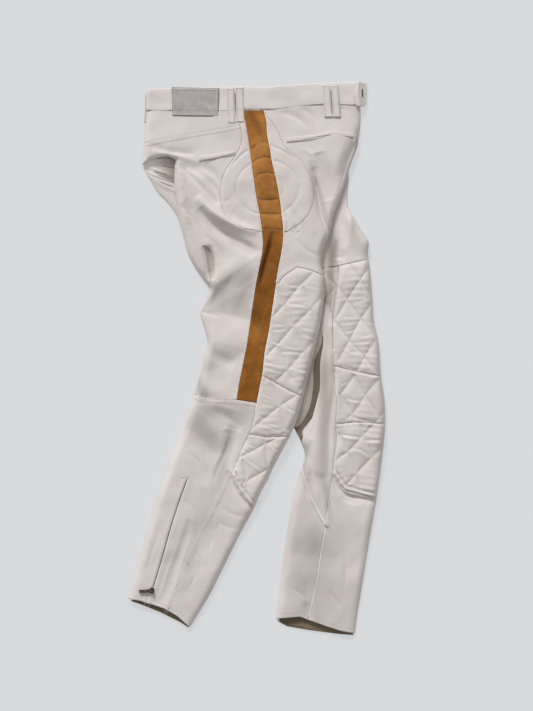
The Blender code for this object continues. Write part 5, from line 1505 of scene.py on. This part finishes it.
def on_right_half(x, y, depth=0.0):
    """Surface that carries what is sewn on: just clear of the cloth and the waistband."""
    step = 0.6 * eased(y - WAIST_SEAM(x) + 3.0, 6.0)
    x, y, z = right_half(x, y, 0.0)
    return x, y, z + step + CLEAR - depth


def on_trims(clear):
    """Height of what is sewn on the right half, and what is clear of it."""
    return lambda x, y: on_right_half(x, y, -clear)[2]


def on_cloth(relief, clear=0.0, half=right_half):
    """Height of a half's sewn cloth, and what is clear of it."""
    return lambda x, y: half(x, y)[2] + relief(x, y) + clear


def sewn_on(name, sides, seams, columns, rows, thickness, relief):
    """Small piece laid on the right half."""
    return cloth_piece(name, on_right_half, relief, sides, seams, columns, rows, thickness,
                       thickness)


# Patch and trims: belt loops have their low and high corner (y, x) and their width, welts their
# two ends, their top line and their depth
PATCH_CREASES = traced_folds(
    (-0.35, 4.0, ((184, 102), (196, 108), (209, 115))),
    (0.5, 5.0, ((190, 97), (203, 105), (216, 111))),
    (-0.4, 4.0, ((176, 96), (184, 92), (196, 91))))
PATCH_OUTLINE = ((cross_seam((484, -166), (546, -168)), cross_seam((484, -76), (546, -74))),
                 (cross_seam((-170, 543), (-70, 541)), cross_seam((-170, 487), (-70, 485))))
RAW_OUTLINE = ((cross_seam((484, -166.6), (546, -168.6)), cross_seam((484, -75.4), (546, -73.4))),
               (cross_seam((-171, 543.6), (-69, 541.6)), cross_seam((-171, 486.4), (-69, 484.4))))
LOOPS = (("back_belt_loop_1", (472, -57), (544, -60), 17.0),
         ("back_belt_loop_2", (474, -39), (546, -42), 17.0),
         ("front_belt_loop_1", (484, 137), (550, 131), 17.0),
         ("front_belt_loop_2", (484, 154), (550, 149), 16.0))
WELTS = (("back_pocket_welt", -114.0, -42.0, cross_seam((-114, 404), (-40, 416)), 8.5),
         ("front_pocket_welt", 61.0, 196.0,
          cross_seam((60, 442), (118, 448), (154, 456), (200, 452)), 9.0))


def strip_relief(left, right):
    """Folded strip: its two long edges roll down and the stitch rows dent it."""
    def relief(x, y):
        near = np.minimum(x - left(y), right(y) - x)
        return -0.6 * np.exp(-near / 0.9) - 0.3 * np.exp(-((near - 2.4) / 0.7) ** 2)
    return relief


def welt_relief(top, depth):
    """Pocket welt: its lip rolls over at the top, and it sinks to the cloth at the bottom."""
    def relief(x, y):
        return -0.6 * np.exp(-(top(x) - y) / 0.9) - 0.8 * np.exp(-(y - top(x) + depth) / 1.2)
    return relief


def patch_relief(x, y):
    """Leather patch: edges rolled down, a dented stitch row, and one slack crease across it."""
    near = np.minimum(np.minimum(x + 167.0, -75.0 - x), np.minimum(542.0 - y, y - 486.0))
    relief = -0.5 * np.exp(-near / 1.2) - 0.12 * np.exp(-((near - 3.2) / 0.8) ** 2)
    return relief + creased(x, y, PATCH_CREASES)


def trims():
    """Patch, belt loops and pocket welts."""
    piece = sewn_on("grey_leather_patch", *PATCH_OUTLINE, spread(92.0, 1.4),
                    spread(57.0, 1.4), 1.5, patch_relief)
    lay(piece, "leather_patch", PATCH, "grey_leather", ("waistband_right",))
    edge = sewn_on("patch_raw_edge", *RAW_OUTLINE, spread(94.0, 3.0), spread(58.0, 3.0),
                   0.7, unsewn)
    settle(edge, RAW_LEATHER)
    slits("belt_loop_feet", (((-39.4, 472.3), (-39.4, 478.7)), ((152.8, 484.3), (152.8, 490.7))),
          (3.2, 16.5, 0.7), on_trims(0.1), COTTON)
    # Painted shade: dark slits between the two straps of each belt loop
    slits("belt_loop_slits", (((-39.4, 486.0), (-41.4, 532.0)), ((152.4, 494.0), (149.4, 536.0))),
          (22.0, 0.7, 0.4), on_trims(0.9))
    for node, low, high, width in LOOPS:
        side = line(low, high)
        far = moved(side, width - 0.8)
        piece = sewn_on(f"{node}_cloth", (side, far), (level(high[0] - 2.0), level(low[0])),
                        spread(16.0, 1.0), spread(68.0, 1.6), 1.6, strip_relief(side, far))
        lay(piece, node, rests_on=("waistband_right",))
    for node, left, right, top, depth in WELTS:
        piece = sewn_on(f"{node}_cloth", (level(left), level(right)), (top, moved(top, -depth)),
                        spread(right - left, 1.6), spread(depth, 1.0), 1.2,
                        welt_relief(top, depth))
        lay(piece, node, rests_on=("right_front", "right_back"))


FOLD_LINES = (traced((147, 168.6), (173.5, 176.2)), traced((153, 173.4), (174, 179.4)),
              traced((157, 180.6), (174, 187.2)), traced((163, 165.4), (174, 167.0)))
HIP_LINE = traced((313.2, 169), (316.8, 186))
FRONT_WELT_LINE = traced((291.5, 141.4), (331.5, 134.6))
BACK_WELT_LINE = traced((203.5, 161.4), (235, 153.4))
CREASE_LEFT = line((229, -106), (210, -101), (190, -98), (170, -94), (154, -91))
CREASE_RIGHT = line((229, -105), (220, -92), (202, -84), (182, -83), (164, -86), (154, -90))


def dark_lines():
    """Painted shade: dark lines deep in the seat's layered folds, beside the front crease and in the
    welts, and darker cloth inside the seat's crease.
    """
    for name, lines, sizes, height in (
            ("seat_fold_lines", FOLD_LINES, (13.0, 0.45, 0.3), on_cloth(seat_sewing, 0.5, left_seat)),
            ("hip_fold_lines", [HIP_LINE], (16.0, 0.35, 0.3), on_cloth(right_sewing, 0.1)),
            ("front_welt_line", [FRONT_WELT_LINE], (37.0, 0.4, 0.3), on_trims(1.0)),
            ("back_welt_line", [BACK_WELT_LINE], (31.0, 0.4, 0.3), on_trims(1.0))):
        slits(name, lines, sizes, height)
    inside = cloth_piece("seat_crease_inside", right_half, right_sewing,
                         (CREASE_LEFT, CREASE_RIGHT), (level(228.5), level(154.5)),
                         spread(14.0, 1.0), spread(74.0, 2.0), 0.6, 0.5)
    # Painted shade: the cloth inside the seat's crease is darker than the cotton
    settle(inside, CREASE_SHADE_TWILL)


def seam_rows(seams):
    """Stitch rows beside the seams, on the side of the felled band: one close to each seam, and
    another along the far edge of each band that is high enough."""
    return ([offset(path, NEAR_ROW * side) for path, side, _, _ in seams]
            + [offset(path, FAR_ROW * side) for path, side, _, band in seams if band >= WIDE_BAND])


def topstitching():
    """All the thread that shows: seams, quilting, pad, channels, waistband, patch, trims."""
    right = seam_rows(RIGHT_SEAMS)
    right += [along_line(moved(ZIP_LINE, shift), -238.0, -500.0) for shift in (-ZIP_ROW, ZIP_ROW)]
    right.append(offset(along_seam(RIGHT_HEM, -246.0, -140.0), HEM_ROW))
    left = seam_rows(LEFT_LEG_SEAMS) + [offset(along_seam(LEFT_HEM, 50.0, 190.0), HEM_ROW)]
    band = [along_seam(moved(seam, shift), -214.0, 198.0)
            for seam, shift in ((WAIST_TOP, -BAND_ROW), (WAIST_SEAM, BAND_ROW))]
    for name, rows, height, surface_look in (
            ("right_seam_stitches", right, on_cloth(zip_relief, 0.1), THREAD_DYE),
            ("right_quilting_stitches", [smooth_path(path) for path in RIGHT_QUILTING],
             on_cloth(right_quilting, 0.15), QUILT_THREAD),
            ("left_seam_stitches", left, on_cloth(left_sewing, 0.1, left_half), THREAD_DYE),
            ("left_quilting_stitches", [smooth_path(path) for path in LEFT_QUILTING],
             on_cloth(left_quilting, 0.15, left_half), QUILT_THREAD),
            ("hip_pad_stitches", [*PAD_HALVES, *PAD_ARCS, *PAD_SIDES],
             on_cloth(pad_quilting, 0.15), QUILT_THREAD)):
        settle(threads(name, rows, height), surface_look)
    settle(threads("stripe_stitches", CHANNEL_SEAMS, on_cloth(channel_quilting, 0.4), 0.5),
           TAN_THREAD)
    settle(threads("waistband_stitches", band, on_cloth(band_relief, 0.75)), THREAD_DYE)
    settle(threads("trim_stitches", trim_rows(), on_trims(1.9), 0.68, 2.1), TRIM_THREAD)


def trim_rows():
    """Stitch rows of the patch and the belt loops."""
    patch = np.array(((-164.4, 489.4), (-165.4, 539.6), (-77.4, 538.4), (-78.6, 488.6),
                      (-164.4, 489.4)))
    rows = [np.concatenate([np.linspace(a, b, 30) for a, b in zip(patch, patch[1:])])]
    for _, low, high, width in LOOPS:
        side = line(low, high)
        for shift in (2.4, width - 3.2):
            rows.append(along_line(moved(side, shift), high[0] - 3.0, low[0] + 1.0))
        for y in (high[0] - 4.0, low[0] + 2.0):
            rows.append(np.array(((side(y) + 1.5, y), (side(y) + width - 2.5, y))))
    rows += [np.array(((x, 434.0), (x + 0.6, 455.0))) for x in (194.5, 196.0, 197.5)]
    return rows


def ankle_zip():
    """Zip tape, its two rows of teeth and the bartack at its top."""
    tape = cloth_piece("ankle_zip_tape_strip", right_half, right_sewing,
                       (moved(ZIP_LINE, -2.0), moved(ZIP_LINE, 2.0)),
                       (moved(ZIP_TOP, -0.5), level(-474.0)), spread(4.0, 1.0), spread(234.0, 3.0),
                       1.0, -1.6)
    settle(tape, ZIP_TAPE_DYE)
    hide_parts("ankle_zip_tape")
    y = np.arange(-244.0, -456.0, -TOOTH_PITCH)
    x = ZIP_LINE(y) + np.where(np.arange(len(y)) % 2 == 0, -0.55, 0.55)
    z = right_half(x, y)[2] + right_sewing(x, y) - 0.9
    slope = (ZIP_LINE(y + 2.0) - ZIP_LINE(y - 2.0)) / 4.0
    ways = np.column_stack([-slope, -np.ones(len(y))])
    settle(boxes("zip_teeth", np.column_stack([x, y, z]), ways, (0.5, 0.6, 0.4)), ZIP_METAL)
    rows = [np.array(((-150.0, y), (-133.0, y + 2.0))) for y in (-237.0, -236.2, -238.0)]
    settle(threads("zip_bartack", rows, on_cloth(zip_relief, 0.3)), THREAD_DYE)


TAB_SIDES = (cross_seam((505, 200), (528, 194), (555, 204)),
             cross_seam((505, 216), (512, 221), (553, 222)))
TAB_ENDS = (cross_seam((194, 555), (222, 553)), cross_seam((194, 507), (214, 505), (222, 509)))
TAB_FOLD = cross_seam((508, 208), (534, 203), (556, 206))


def drooping(x, y, depth=0.0):
    """Closure tab's face: it droops over the waistband's end in an S-shaped curve."""
    return x, y, 17.6 - 11.0 * eased(x - 202.0, 20.0) - depth


def tab_relief(x, y):
    """Closure tab: rolled edges, and a folded ridge with a shaded facet left of it."""
    near = np.minimum(x - TAB_SIDES[0](y), TAB_SIDES[1](y) - x)
    from_fold = x - TAB_FOLD(y)
    ridge = 1.3 * np.exp(-(from_fold / 1.4) ** 2) - 1.4 * np.exp(-((from_fold + 4.5) / 3.0) ** 2)
    return ridge - 0.7 * np.exp(-near / 0.9)


def slits(name, ends, widths, height, surface_look=None):
    """Slits: one slim block for each pair of ends, on the height that the rule gives, dark as painted
    shade unless another finish is given.
    """
    places = np.array(ends, float)
    middles = places.mean(1)
    middles = np.column_stack([middles, height(middles[:, 0], middles[:, 1])])
    return settle(boxes(name, middles, places[:, 1] - places[:, 0], widths), surface_look or SLIT_SHADE)


def closure():
    """Closure tab at the waistband's front end, and the waistband's inner edge at the back."""
    piece = cloth_piece("closure_tab_cloth", drooping, tab_relief, TAB_SIDES, TAB_ENDS,
                        spread(24.0, 1.2), spread(48.0, 1.4), 2.5)
    lay(piece, "closure_tab", BAND_TWILL, "waistband_twill", ("waistband_right",))
    # Painted shade: a near-black block in the tab's slot
    slits("closure_slot", (((213.0, 524.6), (212.6, 540.0)),), (7.8, 1.1, 0.5),
          on_cloth(unsewn, 0.2, drooping), SLOT_SHADE)
    edge = cloth_piece("waistband_inner_edge", plane(5.0), unsewn,
                       (moved(SEAT_EDGE, -2.6), moved(SEAT_EDGE, 3.0)), (level(531.0), level(474.0)),
                       spread(5.6, 1.4), spread(57.0, 3.0), 1.6)
    settle(edge, LINING_EDGE)


def fold_strip(name, surface, relief, sides, seams, columns, rows, proud):
    """Folded edge of a panel: a narrow strip along its seam, proud of it and paler as a painted
    highlight where it catches light.
    """
    settle(cloth_piece(name, surface, relief, sides, seams, columns, rows, 1.0, proud), EDGE_HIGHLIGHT_TWILL)


def inner_fold_relief(x, y):
    """Double fold along the inner leg's cross seam: two soft ridges, side by side."""
    share = (y - INNER_SEAM(x)) / 10.0
    return left_sewing(x, y) + 0.9 * np.abs(np.sin(2.0 * math.pi * share))


def edge_folds():
    """Folded edges along the stripe, the long seams and the cross seams, paler as painted highlight."""
    for name, surface, relief, side, low, high, top, bottom, proud in (
            ("back_edge_fold", right_half, right_sewing, STRIPE_BACK, -2.1, -0.3, 500.0, -82.0, 0.8),
            ("front_edge_fold", right_half, right_sewing, FRONT_SEAM, 0.3, 1.9, 500.0, -88.0, 0.8),
            ("shin_edge_fold", right_half, right_sewing, FRONT_SEAM, -1.2, 1.4, -90.0, -499.0, 0.35),
            ("inseam_edge_fold", left_half, left_sewing, INSEAM, -1.0, 0.8, 20.0, -517.0, 0.35),
            ("zip_end_fold", right_half, right_sewing, ZIP_LINE, -1.8, 1.8, -462.0, -489.0, 0.35)):
        fold_strip(name, surface, relief, (moved(side, low), moved(side, high)),
                   (level(top), level(bottom)), spread(1.8, 0.45), spread(top - bottom, 2.6), proud)
    for name, surface, relief, seam, low, high, left, right in (
            ("yoke_edge_fold", right_half, right_sewing, YOKE_SEAM, -0.2, 1.6, -214.0, -34.0),
            ("knee_edge_fold", right_half, right_sewing, KNEE_BACK_SEAM, 0.0, 1.8, -118.0, -42.0),
            ("waist_edge_fold", right_half, right_sewing, WAIST_SEAM, -1.8, -0.4, -212.0, 200.0),
            ("quilt_edge_fold", right_half, right_sewing, QUILT_TOP, 0.2, 2.0, 42.0, 130.0),
            ("inner_edge_fold", left_half, inner_fold_relief, INNER_SEAM, -0.5, 10.0, 91.0, 139.0)):
        fold_strip(name, surface, relief,
                   (level(left), level(right)), (moved(seam, high), moved(seam, low)),
                   spread(right - left, 2.2), spread(1.8, 0.3), 0.6)


def hardware():
    """Zip slider and pull tab keep their solids' form, with worn metal on them."""
    for node, finish in (("zip_slider", ZIP_METAL), ("zip_pull_tab", PULL_METAL)):
        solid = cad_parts[node]
        solid.data.materials.clear()
        solid.data.materials.append(finish)


FLOOR_HALF = 4000.0     # half the floor's width, and its height, just under the garment
FLOOR_TOP = -0.4
CAMERA_HEIGHT = 4.0     # metres over the floor, as are the next three
FACE_HEIGHT = 0.015     # garment's face, which the picture's height is measured on
VIEW_HEIGHT = 1.422
VIEW_MIDDLE = (0.021, 0.007)
SENSOR = 36.0           # millimetres, over the picture's height


def sweep():
    """Pale paper sweep under the garment."""
    corners = np.array([[FLOOR_HALF * x, FLOOR_HALF * y, FLOOR_TOP]
                        for x, y in ((-1, -1), (1, -1), (1, 1), (-1, 1))])
    floor = add_mesh("floor", corners, np.array([[0, 1, 2, 3]]))
    floor.data.materials.append(SWEEP)


def light(name, way, power, spread_angle):
    """Broad distant light that shines from a direction, its discs of light in degrees wide."""
    data = bpy.data.lights.new(name, "SUN")
    data.energy = power
    data.angle = math.radians(spread_angle)
    lamp = bpy.data.objects.new(name, data)
    lamp.rotation_euler = (-Vector(way)).to_track_quat("-Z", "Y").to_euler()
    bpy.context.scene.collection.objects.link(lamp)


def studio():
    """Soft distant key from above the waist, a weak fill, and an even white room."""
    light("key_light", (-0.34, 0.90, 0.62), 2.5, 14.0)
    light("fill_light", (0.5, -0.2, 1.0), 0.15, 60.0)
    world = bpy.data.worlds.new("studio")
    bpy.context.scene.world = world
    world.use_nodes = True
    background = world.node_tree.nodes["Background"]
    background.inputs["Color"].default_value = (1.0, 1.0, 1.0, 1.0)
    background.inputs["Strength"].default_value = 0.34
    bpy.context.scene.view_settings.view_transform = "Standard"


def overhead_camera():
    """Camera straight above, with a lens that shows 1.422 m over the picture's height."""
    data = bpy.data.cameras.new("overhead_camera")
    data.sensor_fit = "VERTICAL"
    data.sensor_height = SENSOR
    data.lens = SENSOR * (CAMERA_HEIGHT - FACE_HEIGHT) / VIEW_HEIGHT
    camera = bpy.data.objects.new("overhead_camera", data)
    camera.location = (*VIEW_MIDDLE, CAMERA_HEIGHT)
    bpy.context.scene.collection.objects.link(camera)
    bpy.context.scene.camera = camera


seat_pieces()
hip_pads()
stripe_pieces()
right_quilt_pieces()
right_lower_pieces()
left_quilt_pieces()
left_pieces()
undersides()
backings()
gap_pieces()
inside_hems()
trims()
dark_lines()
ankle_zip()
closure()
edge_folds()
topstitching()
hardware()
sweep()
studio()
overhead_camera()
